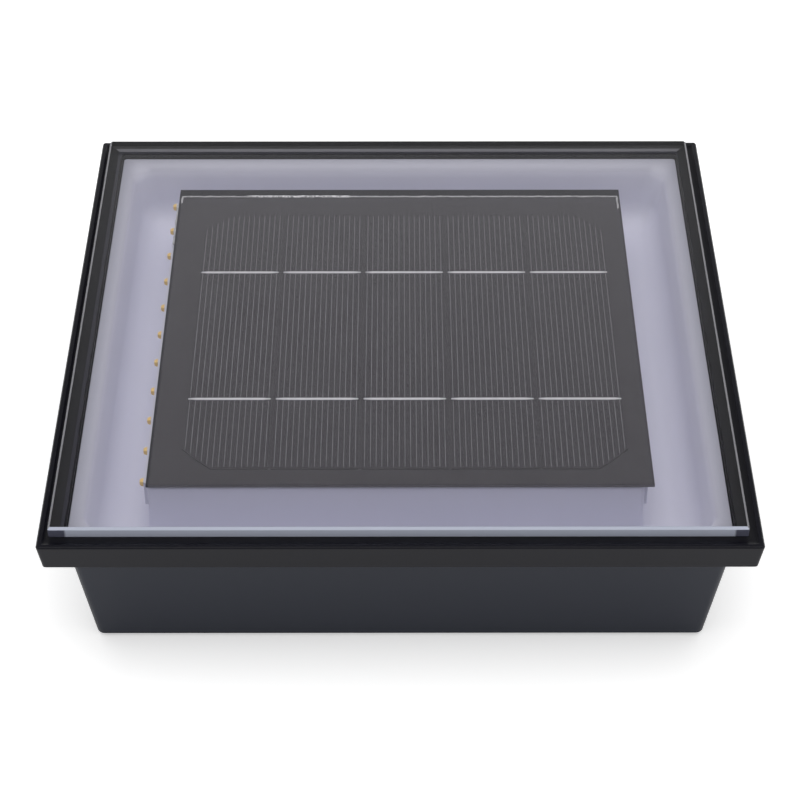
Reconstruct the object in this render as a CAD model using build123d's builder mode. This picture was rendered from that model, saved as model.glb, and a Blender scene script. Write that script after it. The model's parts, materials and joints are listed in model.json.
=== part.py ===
# Recessed solar light: a square drafted tub with a flange that hangs in a paving recess,
# a proud glass pane bedded in black sealant, and a solar panel on a pedestal in a pale tray.
# Millimetres and degrees. +Z is up and the origin is the centre of the base.
import math
import os
from build123d import *

os.makedirs("parts", exist_ok=True)

# Housing
rim_side = 200.0
rim_top = 46.2
flange_height = 9.0
flange_overhang = 6.1
mould_draft = 7.8
wall = 2.5
floor_thick = 2.5
rim_corner = 4.0
tub_corner = 6.0
cavity_corner = 4.0
base_edge_bevel = 1.2
flange_edge_bevel = 0.8
lip_edge_bevel = 0.4
lip_wall = 1.6
ledge_thick = 3.0
ledge_width = 5.9
opening_corner = 5.0

# Glass, and its sealant: the bead's width on each side sets the pane's size and place
glass_thick = 6.0
glass_proud = 2.8
glass_corner = 2.0
glass_bevel = 0.6
bead_left = 1.4
bead_right = 2.4
bead_front = 3.35
bead_back = 1.45
bed_thick = 0.5
bed_margin = 0.4
bead_drop = 0.4

# Reflector tray and its screws
tray_wall = 1.8
tray_gap = 0.5
tray_flange_gap = 0.3
basin_corner = 9.0
trough_bevel = 3.0
pedestal_height = 18.4
pedestal_corner = 1.5
column_inset = 13.0
column_radius = 4.0
column_web = 1.6
column_web_length = 7.0
well_depth = 3.0
well_radius = 4.2
tray_screw_length = 10.0
tray_screw_radius = 1.45
tray_head_radius = 2.8
tray_head_height = 2.2

# Solar panel: bare board round the cells, and how far the board overhangs the pedestal
panel_margin_left = 9.3
panel_margin_right = 6.5
panel_margin_front = 6.8
panel_margin_back = 14.4
panel_overhang_left = 0.1
panel_overhang_right = 2.5
panel_overhang_front = 0.6
panel_overhang_back = 2.4
panel_thick = 0.8
panel_gap = 1.8
panel_y = 1.9
film_thick = 0.5
film_inset = 0.2
film_inset_back = 4.0
film_bevel = 0.15
tape_thick = 0.5
tape_width = 12.0
tape_inset = 2.0
wafer_side = 125.0
wafer_diagonal = 165.0
strip_count = 5
strip_gap = 0.9
cell_thick = 0.2
ribbon_pitch = 62.4
ribbon_width = 1.5
ribbon_thick = 0.1
ribbon_end = 0.3

# LED strips
led_strip_thick = 1.0
led_strip_height = 8.0
led_strip_length = 138.0
led_count = 11
led_pitch = 13.6
led_length = 2.0
led_height = 1.6
led_out = 0.8
led_drop = 0.7
led_bevel = 0.15

# Battery, its holder and the cover under them
cell_radius = 9.1
cell_length = 65.0
cap_radius = 4.0
cap_height = 1.2
sleeve_thick = 0.2
cell_gap = 2.0
cell_clearance = 0.3
holder_wall = 1.5
holder_clearance = 0.3
contact_room = 4.0
contact_thick = 0.4
contact_height = 10.0
contact_finger = 8.0
contact_flat = 3.0
contact_gap = 0.1
holder_skirt = 6.0
bay_wall = 2.0
bay_y = -24.0
cover_inset = 0.4
cover_thick = 2.0
cover_clearance = 0.3
cover_corner = 3.0
cover_bevel = 0.4
gasket_thick = 0.8
gasket_width = 2.5
gasket_margin = 1.5
cover_screw_margin = 3.2
cover_edge = 4.5
cover_side_edge = 2.0
cover_screw_y = 18.0
cover_screw_radius = 1.45
cover_screw_length = 9.0
cover_head_radius = 2.9
cover_boss_radius = 3.3
cover_boss_height = 10.0
pad_thick = 1.6
pad_margin = 4.0

# Main board and what it carries
board_length = 64.0
board_width = 38.0
board_thick = 1.6
board_y = 41.0
board_hole_inset = 4.0
board_boss_radius = 3.0
board_screw_radius = 1.2
board_screw_length = 6.0
board_head_radius = 2.3
board_head_height = 1.6
socket_screw_gap = 1.7
socket_inset = 1.0
socket_length = 8.0
socket_width = 5.8
socket_height = 6.5
socket_bevel = 0.4
led_socket_length = 13.0
chip_x = 12.0
chip_stand = 0.2
chip_bevel = 0.3
chip_length = 4.9
chip_width = 3.9
chip_height = 1.5
chip_leg_reach = 1.05
chip_leg_width = 0.45
chip_leg_pitch = 1.27
chip_leg_thick = 0.25
coil_side = 7.0
coil_height = 4.0
coil_bevel = 1.2
capacitor_x = 9.0
capacitor_y = 53.0
capacitor_radius = 3.15
capacitor_height = 7.0

# Push switch in the floor
switch_x = 18.0
switch_y = 48.0
button_travel = 1.5
button_radius = 5.9
button_play = 0.1
button_recess = 1.4
button_bevel = 0.6
finger_recess_depth = 1.0
finger_recess_margin = 3.0
bush_wall = 2.2
bush_height = 6.5
collar_radius = 7.2
collar_thick = 1.2
button_stub_radius = 2.6
button_stub_height = 0.8
seal_section = 0.75
seal_level = 3.9
seal_groove = 1.6
switch_side = 8.4
switch_height = 6.5
switch_bevel = 0.4
plunger_radius = 1.8
plunger_reach = 2.0
plunger_length = 5.5
plunger_play = 0.1

# Leads, six-sided to keep them light
led_lead_y = 14.0
led_lead_level = 33.0
panel_lead_y = 8.0
lead_radius = 0.65
lead_sides = 6
lead_pair = 2.4
lead_hole_play = 0.6

# Small screws, their bosses and their holes are eight-sided to keep them light
screw_sides = 8

# Shared clearances
hole_play = 0.25
thread_play = 0.05

# Levels, from the base up
glass_level = rim_top + glass_proud - glass_thick
ledge_level = glass_level - bed_thick
seat_level = ledge_level - ledge_thick
flange_level = rim_top - flange_height
film_level = glass_level - panel_gap - film_thick
panel_level = film_level - panel_thick
pedestal_top = panel_level - tape_thick
trough_floor = pedestal_top - pedestal_height
trough_base = trough_floor - tray_wall
cover_top = cover_inset + cover_thick
pocket_level = cover_top + gasket_thick
sleeve_radius = cell_radius + sleeve_thick
cell_axis = cover_top + pad_thick + sleeve_radius
holder_top = cell_axis + sleeve_radius + cell_clearance + holder_wall
bay_top = holder_top + bay_wall
column_top = pedestal_top - well_depth - tray_wall
plunger_level = bush_height + collar_thick + button_stub_height
switch_level = plunger_level + plunger_reach
board_level = switch_level + switch_height
board_top = board_level + board_thick

# Sides of the drafted squares
slope = math.tan(math.radians(mould_draft))
flange_side = rim_side - 2 * flange_height * slope
tub_side = flange_side - 2 * flange_overhang
cavity_side = tub_side - 2 * wall + 2 * (seat_level - flange_level) * slope
rebate_side = rim_side - 2 * lip_wall
opening_side = rebate_side - 2 * ledge_width
basin_side = cavity_side - 2 * tray_gap

# Pane, panel and pedestal, each from the bead, margins or overhangs round it
glass_width = rebate_side - bead_left - bead_right
glass_depth = rebate_side - bead_front - bead_back
glass_x = (bead_left - bead_right) / 2
glass_y = (bead_front - bead_back) / 2
strip_width = wafer_side / strip_count
strip_pitch = strip_width + strip_gap
array_width = strip_count * strip_pitch - strip_gap
panel_width = array_width + panel_margin_left + panel_margin_right
panel_depth = wafer_side + panel_margin_front + panel_margin_back
cells_x = (panel_margin_left - panel_margin_right) / 2
cells_y = panel_y + (panel_margin_front - panel_margin_back) / 2
pedestal_width = panel_width - panel_overhang_left - panel_overhang_right
pedestal_depth = panel_depth - panel_overhang_front - panel_overhang_back
pedestal_x = (panel_overhang_left - panel_overhang_right) / 2
pedestal_y = panel_y + (panel_overhang_front - panel_overhang_back) / 2

# Places that several pieces share
pedestal_left = pedestal_x - pedestal_width / 2
pedestal_right = pedestal_x + pedestal_width / 2
column_spacing_x = pedestal_width - 2 * column_inset
column_spacing_y = pedestal_depth - 2 * column_inset
cell_pitch = 2 * sleeve_radius + cell_gap
holder_length = cell_length + cap_height + 2 * (contact_room + holder_wall)
holder_width = cell_pitch + 2 * (sleeve_radius + cell_clearance + holder_wall)
bay_length = holder_length + 2 * holder_clearance
bay_width = holder_width + 2 * holder_clearance
gasket_length = bay_length + 2 * (gasket_margin + gasket_width)
gasket_depth = bay_width + 2 * (gasket_margin + gasket_width)
cover_screw_x = gasket_length / 2 + cover_screw_margin
cover_length = 2 * (cover_screw_x + cover_edge)
cover_width = gasket_depth + 2 * cover_side_edge
board_hole_x = board_length - 2 * board_hole_inset
board_hole_y = board_width - 2 * board_hole_inset
socket_spacing = board_hole_x / 2 - board_head_radius - socket_screw_gap - socket_length / 2
socket_front = board_y - board_width / 2 + socket_inset
socket_axis = board_top + socket_height / 2
battery_lead_x = holder_length / 2 - holder_wall - contact_thick - lead_radius - thread_play
lead_slot_length = lead_pair + 2 * (lead_radius + lead_hole_play)
lead_slot_width = 2 * (lead_radius + lead_hole_play)
led_strip_top = pedestal_top - led_drop


def drafted_square(side, top, bottom, corner, top_bevel=0, bottom_bevel=0):
    # A square block that draws in by the mould draft from its top to its bottom, with bevelled ends
    outlines = {top: top_bevel, top - top_bevel: 0, bottom + bottom_bevel: 0, bottom: bottom_bevel}
    with BuildPart(mode=Mode.PRIVATE) as block:
        for level, bevel in sorted(outlines.items()):
            drawn_side = side - 2 * (top - level) * slope - 2 * bevel
            with BuildSketch(Plane.XY.offset(level)):
                RectangleRounded(drawn_side, drawn_side, corner - bevel)
        loft(ruled=True)
    return block.part


def lead_tube(points):
    # A round wire through the points, each corner an arc as large as its two runs allow
    ends = [Vector(*point) for point in points]
    radii = []
    for before, corner, after in zip(ends, ends[1:], ends[2:]):
        turn = math.radians((corner - before).get_angle(after - corner))
        shorter = min((corner - before).length, (after - corner).length)
        radii.append(0.45 * shorter / math.tan(turn / 2))
    with BuildPart(mode=Mode.PRIVATE) as tube:
        with BuildLine() as route:
            FilletPolyline(*ends, radius=radii)
        with BuildSketch(Plane(origin=ends[0], z_dir=ends[1] - ends[0])):
            RegularPolygon(lead_radius, lead_sides)
        sweep(path=route.line)
    print("lead radii", [round(radius, 1) for radius in radii])
    return tube.part


# Housing: the flange first, with both outer edges bevelled, then the tub under it
with BuildPart() as housing:
    add(drafted_square(rim_side, rim_top, flange_level, rim_corner, lip_edge_bevel, flange_edge_bevel))
    add(drafted_square(tub_side, flange_level, 0, tub_corner, bottom_bevel=base_edge_bevel))
    # Rebate for the glass, opening for the tray and the drafted cavity below its seat
    with BuildSketch(Plane.XY.offset(ledge_level)):
        RectangleRounded(rebate_side, rebate_side, rim_corner - lip_wall)
    extrude(amount=rim_top - ledge_level, mode=Mode.SUBTRACT)
    with BuildSketch(Plane.XY.offset(seat_level)):
        RectangleRounded(opening_side, opening_side, opening_corner)
    extrude(amount=ledge_thick, mode=Mode.SUBTRACT)
    add(drafted_square(cavity_side, seat_level, floor_thick, cavity_corner), mode=Mode.SUBTRACT)
    # Raised floor over the cover's pocket, and the closed box of the battery bay on it
    with BuildSketch():
        with Locations((0, bay_y)):
            Rectangle(cover_length + 2 * wall, cover_width + 2 * wall)
    extrude(amount=pocket_level + floor_thick)
    with BuildSketch():
        with Locations((0, bay_y)):
            Rectangle(bay_length + 2 * bay_wall, bay_width + 2 * bay_wall)
    extrude(amount=bay_top)
    # Bosses: tray columns with webs, board bosses, cover bosses and the button's bush
    with BuildSketch():
        with Locations((pedestal_x, pedestal_y)):
            with GridLocations(column_spacing_x, column_spacing_y, 2, 2):
                RegularPolygon(column_radius, screw_sides)
                Rectangle(column_web, 2 * column_web_length)
                Rectangle(2 * column_web_length, column_web)
    extrude(amount=column_top)
    with BuildSketch():
        with Locations((0, board_y)):
            with GridLocations(board_hole_x, board_hole_y, 2, 2):
                RegularPolygon(board_boss_radius, screw_sides)
    extrude(amount=board_level)
    with BuildSketch(Plane.XY.offset(pocket_level)):
        with Locations((0, bay_y)):
            with GridLocations(2 * cover_screw_x, 2 * cover_screw_y, 2, 2):
                RegularPolygon(cover_boss_radius, screw_sides)
    extrude(amount=cover_boss_height)
    with BuildSketch():
        with Locations((switch_x, switch_y)):
            Circle(button_radius + button_play + bush_wall)
    extrude(amount=bush_height)
    # What is cut from below: the cover's pocket, the bay and the button's bore
    with BuildSketch():
        with Locations((0, bay_y)):
            RectangleRounded(cover_length + 2 * cover_clearance, cover_width + 2 * cover_clearance,
                             cover_corner + cover_clearance)
    extrude(amount=pocket_level, mode=Mode.SUBTRACT)
    with BuildSketch():
        with Locations((0, bay_y)):
            Rectangle(bay_length, bay_width)
    extrude(amount=holder_top, mode=Mode.SUBTRACT)
    with BuildSketch():
        with Locations((switch_x, switch_y)):
            Circle(button_radius + finger_recess_margin)
    extrude(amount=finger_recess_depth, mode=Mode.SUBTRACT)
    with BuildSketch():
        with Locations((switch_x, switch_y)):
            Circle(button_radius + button_play)
    extrude(amount=bush_height, mode=Mode.SUBTRACT)
    # Pilot holes
    with BuildSketch(Plane.XY.offset(column_top)):
        with Locations((pedestal_x, pedestal_y)):
            with GridLocations(column_spacing_x, column_spacing_y, 2, 2):
                RegularPolygon(tray_screw_radius + thread_play, screw_sides)
    extrude(amount=-tray_screw_length, mode=Mode.SUBTRACT)
    with BuildSketch(Plane.XY.offset(board_level)):
        with Locations((0, board_y)):
            with GridLocations(board_hole_x, board_hole_y, 2, 2):
                RegularPolygon(board_screw_radius + thread_play, screw_sides)
    extrude(amount=-board_screw_length, mode=Mode.SUBTRACT)
    with BuildSketch(Plane.XY.offset(pocket_level)):
        with Locations((0, bay_y)):
            with GridLocations(2 * cover_screw_x, 2 * cover_screw_y, 2, 2):
                RegularPolygon(cover_screw_radius + thread_play, screw_sides)
    extrude(amount=cover_screw_length, mode=Mode.SUBTRACT)
    # Holes for the battery leads in the bay's back wall
    with BuildSketch(Plane.XZ.offset(-bay_y - bay_width / 2)):
        with Locations((-battery_lead_x, cell_axis), (battery_lead_x, cell_axis)):
            Circle(lead_radius + lead_hole_play)
    extrude(amount=-bay_wall, mode=Mode.SUBTRACT)
housing.part.label = "housing"
export_step(housing.part, "parts/housing.step")


# Sealant: a bed under the glass and a bead that fills the channel round it
with BuildPart() as glass_sealant:
    with BuildSketch(Plane.XY.offset(ledge_level)):
        RectangleRounded(rebate_side, rebate_side, rim_corner - lip_wall)
    extrude(amount=rim_top - bead_drop - ledge_level)
    with BuildSketch(Plane.XY.offset(ledge_level)):
        RectangleRounded(opening_side + 2 * bed_margin, opening_side + 2 * bed_margin, opening_corner)
    extrude(amount=bed_thick, mode=Mode.SUBTRACT)
    with BuildSketch(Plane.XY.offset(glass_level)):
        with Locations((glass_x, glass_y)):
            RectangleRounded(glass_width, glass_depth, glass_corner)
    extrude(amount=glass_thick, mode=Mode.SUBTRACT)
glass_sealant.part.label = "glass_sealant"
export_step(glass_sealant.part, "parts/glass_sealant.step")

# Glass: one thick pane with ground bevels on its top edges
with BuildPart() as top_glass:
    with BuildSketch(Plane.XY.offset(glass_level)):
        with Locations((glass_x, glass_y)):
            RectangleRounded(glass_width, glass_depth, glass_corner)
    extrude(amount=glass_thick)
    chamfer(top_glass.faces().sort_by(Axis.Z)[-1].edges(), glass_bevel)
top_glass.part.label = "top_glass"
export_step(top_glass.part, "parts/top_glass.step")

# Reflector tray: a flange on the seat, a drafted trough and a hollow pedestal in its middle
with BuildPart() as reflector_tray:
    with BuildSketch(Plane.XY.offset(seat_level)):
        tray_flange_side = opening_side - 2 * tray_flange_gap
        RectangleRounded(tray_flange_side, tray_flange_side, opening_corner)
    extrude(amount=tray_wall)
    add(drafted_square(basin_side, seat_level, trough_base, basin_corner))
    trough_side = basin_side - 2 * tray_wall + 2 * tray_wall * slope
    add(drafted_square(trough_side, seat_level + tray_wall, trough_floor, basin_corner - tray_wall,
                       bottom_bevel=trough_bevel), mode=Mode.SUBTRACT)
    # Pedestal, its hollow from below, and a well for each screw
    with BuildSketch(Plane.XY.offset(trough_floor)):
        with Locations((pedestal_x, pedestal_y)):
            RectangleRounded(pedestal_width, pedestal_depth, pedestal_corner)
    extrude(amount=pedestal_height)
    with BuildSketch(Plane.XY.offset(trough_base)):
        with Locations((pedestal_x, pedestal_y)):
            Rectangle(pedestal_width - 2 * tray_wall, pedestal_depth - 2 * tray_wall)
    extrude(amount=pedestal_height, mode=Mode.SUBTRACT)
    with BuildSketch(Plane.XY.offset(column_top)):
        with Locations((pedestal_x, pedestal_y)):
            with GridLocations(column_spacing_x, column_spacing_y, 2, 2):
                RegularPolygon(well_radius + tray_wall, screw_sides)
    extrude(amount=well_depth + tray_wall)
    with BuildSketch(Plane.XY.offset(pedestal_top)):
        with Locations((pedestal_x, pedestal_y)):
            with GridLocations(column_spacing_x, column_spacing_y, 2, 2):
                RegularPolygon(well_radius, screw_sides)
    extrude(amount=-well_depth, mode=Mode.SUBTRACT)
    with BuildSketch(Plane.XY.offset(column_top)):
        with Locations((pedestal_x, pedestal_y)):
            with GridLocations(column_spacing_x, column_spacing_y, 2, 2):
                RegularPolygon(tray_screw_radius + hole_play, screw_sides)
    extrude(amount=tray_wall, mode=Mode.SUBTRACT)
    # Window for the panel's leads
    with BuildSketch(Plane.XY.offset(pedestal_top)):
        with Locations((socket_spacing, panel_lead_y)):
            Rectangle(lead_slot_length, lead_slot_width)
    extrude(amount=-tray_wall, mode=Mode.SUBTRACT)
    # A window behind each LED strip for its two leads
    with BuildSketch(Plane.YZ.offset(pedestal_left)):
        with Locations((led_lead_y, led_lead_level)):
            Rectangle(lead_slot_length, lead_slot_width)
    extrude(amount=pedestal_width, mode=Mode.SUBTRACT)
reflector_tray.part.label = "reflector_tray"
export_step(reflector_tray.part, "parts/reflector_tray.step")

# Tray screws, heads down in the wells
with BuildPart() as tray_screws:
    with BuildSketch(Plane.XY.offset(column_top + tray_wall)):
        with Locations((pedestal_x, pedestal_y)):
            with GridLocations(column_spacing_x, column_spacing_y, 2, 2):
                RegularPolygon(tray_head_radius, screw_sides)
    extrude(amount=tray_head_height)
    with BuildSketch(Plane.XY.offset(column_top + tray_wall)):
        with Locations((pedestal_x, pedestal_y)):
            with GridLocations(column_spacing_x, column_spacing_y, 2, 2):
                RegularPolygon(tray_screw_radius, screw_sides)
    extrude(amount=-tray_screw_length)
tray_screws.part.label = "tray_screws"
export_step(tray_screws.part, "parts/tray_screws.step")

# LED strips on the pedestal's two side walls, with a row of LEDs on each
for side, wall_x, outward in (("left", pedestal_left, -1), ("right", pedestal_right, 1)):
    with BuildPart() as led_strip:
        with BuildSketch(Plane.YZ.offset(wall_x)):
            with Locations((pedestal_y, led_strip_top - led_strip_height / 2)):
                Rectangle(led_strip_length, led_strip_height)
        extrude(amount=outward * led_strip_thick)
    led_strip.part.label = f"led_strip_{side}"
    export_step(led_strip.part, f"parts/led_strip_{side}.step")
    with BuildPart() as leds:
        with BuildSketch(Plane.YZ.offset(wall_x + outward * led_strip_thick)):
            with Locations((pedestal_y, led_strip_top - led_drop - led_height / 2)):
                with GridLocations(led_pitch, led_pitch, led_count, 1):
                    Rectangle(led_length, led_height)
        extrude(amount=outward * led_out)
        lens_faces = leds.faces().filter_by(Axis.X).group_by(Axis.X)[-1 if outward > 0 else 0]
        chamfer([edge for face in lens_faces for edge in face.edges()], led_bevel)
    leds.part.label = f"leds_{side}"
    export_step(leds.part, f"parts/leds_{side}.step")

# Panel tape: a foam frame that bonds the panel to the pedestal
with BuildPart() as panel_tape:
    with BuildSketch(Plane.XY.offset(pedestal_top)):
        with Locations((pedestal_x, pedestal_y)):
            Rectangle(pedestal_width - 2 * tape_inset, pedestal_depth - 2 * tape_inset)
            Rectangle(pedestal_width - 2 * tape_inset - 2 * tape_width,
                      pedestal_depth - 2 * tape_inset - 2 * tape_width, mode=Mode.SUBTRACT)
            with GridLocations(column_spacing_x, column_spacing_y, 2, 2):
                RegularPolygon(well_radius, screw_sides, mode=Mode.SUBTRACT)
    extrude(amount=tape_thick)
panel_tape.part.label = "panel_tape"
export_step(panel_tape.part, "parts/panel_tape.step")

# Panel board, with the cells and their ribbons on it under one clear film
with BuildPart() as panel_board:
    with BuildSketch(Plane.XY.offset(panel_level)):
        with Locations((0, panel_y)):
            Rectangle(panel_width, panel_depth)
    extrude(amount=panel_thick)
panel_board.part.label = "panel_board"
export_step(panel_board.part, "parts/panel_board.step")

# Solar cells: one wafer with arc corners, cut into strips that are set a gap apart
with BuildPart() as solar_cells:
    for number in range(strip_count):
        step = number - (strip_count - 1) / 2
        strip_x = cells_x + step * strip_pitch
        wafer_x = strip_x - step * strip_width
        with BuildSketch(Plane.XY.offset(film_level)) as strip:
            with Locations((wafer_x, cells_y)):
                Circle(wafer_diagonal / 2)
            with Locations((strip_x, cells_y)):
                Rectangle(strip_width, wafer_side, mode=Mode.INTERSECT)
        extrude(amount=cell_thick)
solar_cells.part.label = "solar_cells"
export_step(solar_cells.part, "parts/solar_cells.step")

# Ribbons: two flat bars soldered along every strip's width
with BuildPart() as cell_ribbons:
    with BuildSketch(Plane.XY.offset(film_level + cell_thick)):
        with Locations((cells_x, cells_y)):
            with GridLocations(strip_pitch, ribbon_pitch, strip_count, 2):
                Rectangle(strip_width - 2 * ribbon_end, ribbon_width)
    extrude(amount=ribbon_thick)
cell_ribbons.part.label = "cell_ribbons"
export_step(cell_ribbons.part, "parts/cell_ribbons.step")

# Film: the clear cover over the cells, hollow by their thickness
with BuildPart() as panel_film:
    with BuildSketch(Plane.XY.offset(film_level)):
        with Locations((0, panel_y + (film_inset - film_inset_back) / 2)):
            Rectangle(panel_width - 2 * film_inset, panel_depth - film_inset - film_inset_back)
    extrude(amount=film_thick)
    chamfer(panel_film.faces().sort_by(Axis.Z)[-1].edges(), film_bevel)
    with BuildSketch(Plane.XY.offset(film_level)):
        with Locations((cells_x, cells_y)):
            Rectangle(array_width, wafer_side)
    extrude(amount=cell_thick + ribbon_thick, mode=Mode.SUBTRACT)
panel_film.part.label = "panel_film"
export_step(panel_film.part, "parts/panel_film.step")

# Battery cover, its gasket, the pad that steadies the cells, and its countersunk screws
with BuildPart() as battery_cover:
    with BuildSketch(Plane.XY.offset(cover_inset)):
        with Locations((0, bay_y)):
            RectangleRounded(cover_length, cover_width, cover_corner)
    extrude(amount=cover_thick)
    chamfer(battery_cover.faces().sort_by(Axis.Z)[0].edges(), cover_bevel)
    # Countersunk screw holes
    with BuildSketch(Plane.XY.offset(cover_inset)):
        with Locations((0, bay_y)):
            with GridLocations(2 * cover_screw_x, 2 * cover_screw_y, 2, 2):
                RegularPolygon(cover_head_radius, screw_sides)
    extrude(amount=cover_head_radius - cover_screw_radius - hole_play, taper=45, mode=Mode.SUBTRACT)
    with BuildSketch(Plane.XY.offset(cover_inset)):
        with Locations((0, bay_y)):
            with GridLocations(2 * cover_screw_x, 2 * cover_screw_y, 2, 2):
                RegularPolygon(cover_screw_radius + hole_play, screw_sides)
    extrude(amount=cover_thick, mode=Mode.SUBTRACT)
battery_cover.part.label = "battery_cover"
export_step(battery_cover.part, "parts/battery_cover.step")

with BuildPart() as cover_gasket:
    with BuildSketch(Plane.XY.offset(cover_top)):
        with Locations((0, bay_y)):
            RectangleRounded(gasket_length, gasket_depth, gasket_width + gasket_margin)
            Rectangle(gasket_length - 2 * gasket_width, gasket_depth - 2 * gasket_width,
                      mode=Mode.SUBTRACT)
    extrude(amount=gasket_thick)
cover_gasket.part.label = "cover_gasket"
export_step(cover_gasket.part, "parts/cover_gasket.step")

with BuildPart() as battery_pad:
    with BuildSketch(Plane.XY.offset(cover_top)):
        with Locations((0, bay_y)):
            Rectangle(cell_length - 2 * pad_margin, 2 * sleeve_radius + cell_pitch - 2 * pad_margin)
    extrude(amount=pad_thick)
battery_pad.part.label = "battery_pad"
export_step(battery_pad.part, "parts/battery_pad.step")

with BuildPart() as cover_screws:
    with BuildSketch(Plane.XY.offset(cover_inset)):
        with Locations((0, bay_y)):
            with GridLocations(2 * cover_screw_x, 2 * cover_screw_y, 2, 2):
                RegularPolygon(cover_head_radius - thread_play, screw_sides)
    extrude(amount=cover_head_radius - thread_play - cover_screw_radius, taper=45)
    with BuildSketch(Plane.XY.offset(cover_inset)):
        with Locations((0, bay_y)):
            with GridLocations(2 * cover_screw_x, 2 * cover_screw_y, 2, 2):
                RegularPolygon(cover_screw_radius, screw_sides)
    extrude(amount=cover_thick + cover_screw_length)
cover_screws.part.label = "cover_screws"
export_step(cover_screws.part, "parts/cover_screws.step")

# Battery holder: an inverted cradle with two channels and a room for contacts at each end
with BuildPart() as battery_holder:
    with BuildSketch(Plane.XY.offset(cell_axis - holder_skirt)):
        with Locations((0, bay_y)):
            Rectangle(holder_length, holder_width)
    extrude(amount=holder_top - cell_axis + holder_skirt)
    with BuildSketch(Plane.YZ.offset(-holder_length / 2 + holder_wall)):
        with Locations((bay_y - cell_pitch / 2, cell_axis), (bay_y + cell_pitch / 2, cell_axis)):
            Circle(sleeve_radius + cell_clearance)
            Rectangle(2 * (sleeve_radius + cell_clearance), holder_skirt, align=(Align.CENTER, Align.MAX))
    extrude(amount=holder_length - 2 * holder_wall, mode=Mode.SUBTRACT)
    with BuildSketch(Plane.XY.offset(cell_axis - holder_skirt)):
        with Locations((0, bay_y)):
            with GridLocations(holder_length - 2 * holder_wall - contact_room, contact_room, 2, 1):
                Rectangle(contact_room, holder_width - 2 * holder_wall)
    extrude(amount=holder_skirt + contact_height / 2 + cell_clearance, mode=Mode.SUBTRACT)
    # Open notches that the holder drops over the leads with
    with BuildSketch(Plane.XZ.offset(-bay_y - holder_width / 2)):
        with Locations((-battery_lead_x, cell_axis), (battery_lead_x, cell_axis)):
            Rectangle(lead_slot_width, 2 * holder_skirt)
    extrude(amount=holder_wall, mode=Mode.SUBTRACT)
battery_holder.part.label = "battery_holder"
export_step(battery_holder.part, "parts/battery_holder.step")

# Cells: two cans side by side, each with its raised cap at the positive end
can_start = -(cell_length + cap_height) / 2
with BuildPart() as battery_cells:
    with BuildSketch(Plane.YZ.offset(can_start)):
        with Locations((bay_y, cell_axis)):
            with GridLocations(cell_pitch, cell_pitch, 2, 1):
                Circle(cell_radius)
    extrude(amount=cell_length)
    with BuildSketch(Plane.YZ.offset(can_start + cell_length)):
        with Locations((bay_y, cell_axis)):
            with GridLocations(cell_pitch, cell_pitch, 2, 1):
                Circle(cap_radius)
    extrude(amount=cap_height)
battery_cells.part.label = "battery_cells"
export_step(battery_cells.part, "parts/battery_cells.step")

# Sleeves: shrink film round each can
with BuildPart() as cell_sleeves:
    with BuildSketch(Plane.YZ.offset(can_start)):
        with Locations((bay_y, cell_axis)):
            with GridLocations(cell_pitch, cell_pitch, 2, 1):
                Circle(sleeve_radius)
                Circle(cell_radius, mode=Mode.SUBTRACT)
    extrude(amount=cell_length)
cell_sleeves.part.label = "cell_sleeves"
export_step(cell_sleeves.part, "parts/cell_sleeves.step")

# Contacts: a strip across both cells at each end, with a folded finger for each cell
contact_wall = holder_length / 2 - holder_wall
finger_reach = contact_room - contact_gap
for end, inward in (("positive", -1), ("negative", 1)):
    strip_x = -inward * contact_wall
    with BuildPart() as contact:
        with BuildSketch(Plane.YZ.offset(strip_x)):
            with Locations((bay_y, cell_axis)):
                Rectangle(holder_width - 2 * holder_wall - 2 * contact_gap, contact_height)
        extrude(amount=inward * contact_thick)
        for cell_y in (bay_y - cell_pitch / 2, bay_y + cell_pitch / 2):
            finger_plane = Plane((strip_x, cell_y, cell_axis), x_dir=(inward, 0, 0), z_dir=(0, 1, 0))
            with BuildSketch(finger_plane):
                with BuildLine():
                    Polyline((0, -contact_height / 2), (finger_reach, -contact_flat / 2),
                             (finger_reach, contact_flat / 2), (0, contact_height / 2),
                             (0, contact_height / 2 - contact_thick),
                             (finger_reach - contact_thick, contact_flat / 2),
                             (finger_reach - contact_thick, -contact_flat / 2),
                             (0, contact_thick - contact_height / 2), close=True)
                make_face()
            extrude(amount=contact_finger / 2, both=True)
    contact.part.label = f"{end}_contact"
    export_step(contact.part, f"parts/{end}_contact.step")

# Main board, its screws and what is soldered on it
with BuildPart() as main_board:
    with BuildSketch(Plane.XY.offset(board_level)):
        with Locations((0, board_y)):
            Rectangle(board_length, board_width)
            with GridLocations(board_hole_x, board_hole_y, 2, 2):
                RegularPolygon(board_screw_radius + hole_play, screw_sides, mode=Mode.SUBTRACT)
    extrude(amount=board_thick)
main_board.part.label = "main_board"
export_step(main_board.part, "parts/main_board.step")

with BuildPart() as board_screws:
    with BuildSketch(Plane.XY.offset(board_top)):
        with Locations((0, board_y)):
            with GridLocations(board_hole_x, board_hole_y, 2, 2):
                RegularPolygon(board_head_radius, screw_sides)
    extrude(amount=board_head_height)
    with BuildSketch(Plane.XY.offset(board_top)):
        with Locations((0, board_y)):
            with GridLocations(board_hole_x, board_hole_y, 2, 2):
                RegularPolygon(board_screw_radius, screw_sides)
    extrude(amount=-board_screw_length)
board_screws.part.label = "board_screws"
export_step(board_screws.part, "parts/board_screws.step")

# Lead sockets in a row along the board's front edge, their mouths to the front
for name, centre_x, length in (("battery_socket", -socket_spacing, socket_length),
                               ("led_socket", 0, led_socket_length),
                               ("panel_socket", socket_spacing, socket_length)):
    with BuildPart() as socket:
        with BuildSketch(Plane.XY.offset(board_top)):
            with Locations((centre_x, socket_front)):
                Rectangle(length, socket_width, align=(Align.CENTER, Align.MIN))
        extrude(amount=socket_height)
        chamfer(socket.edges().filter_by(Axis.Z), socket_bevel)
    socket.part.label = name
    export_step(socket.part, f"parts/{name}.step")

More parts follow.
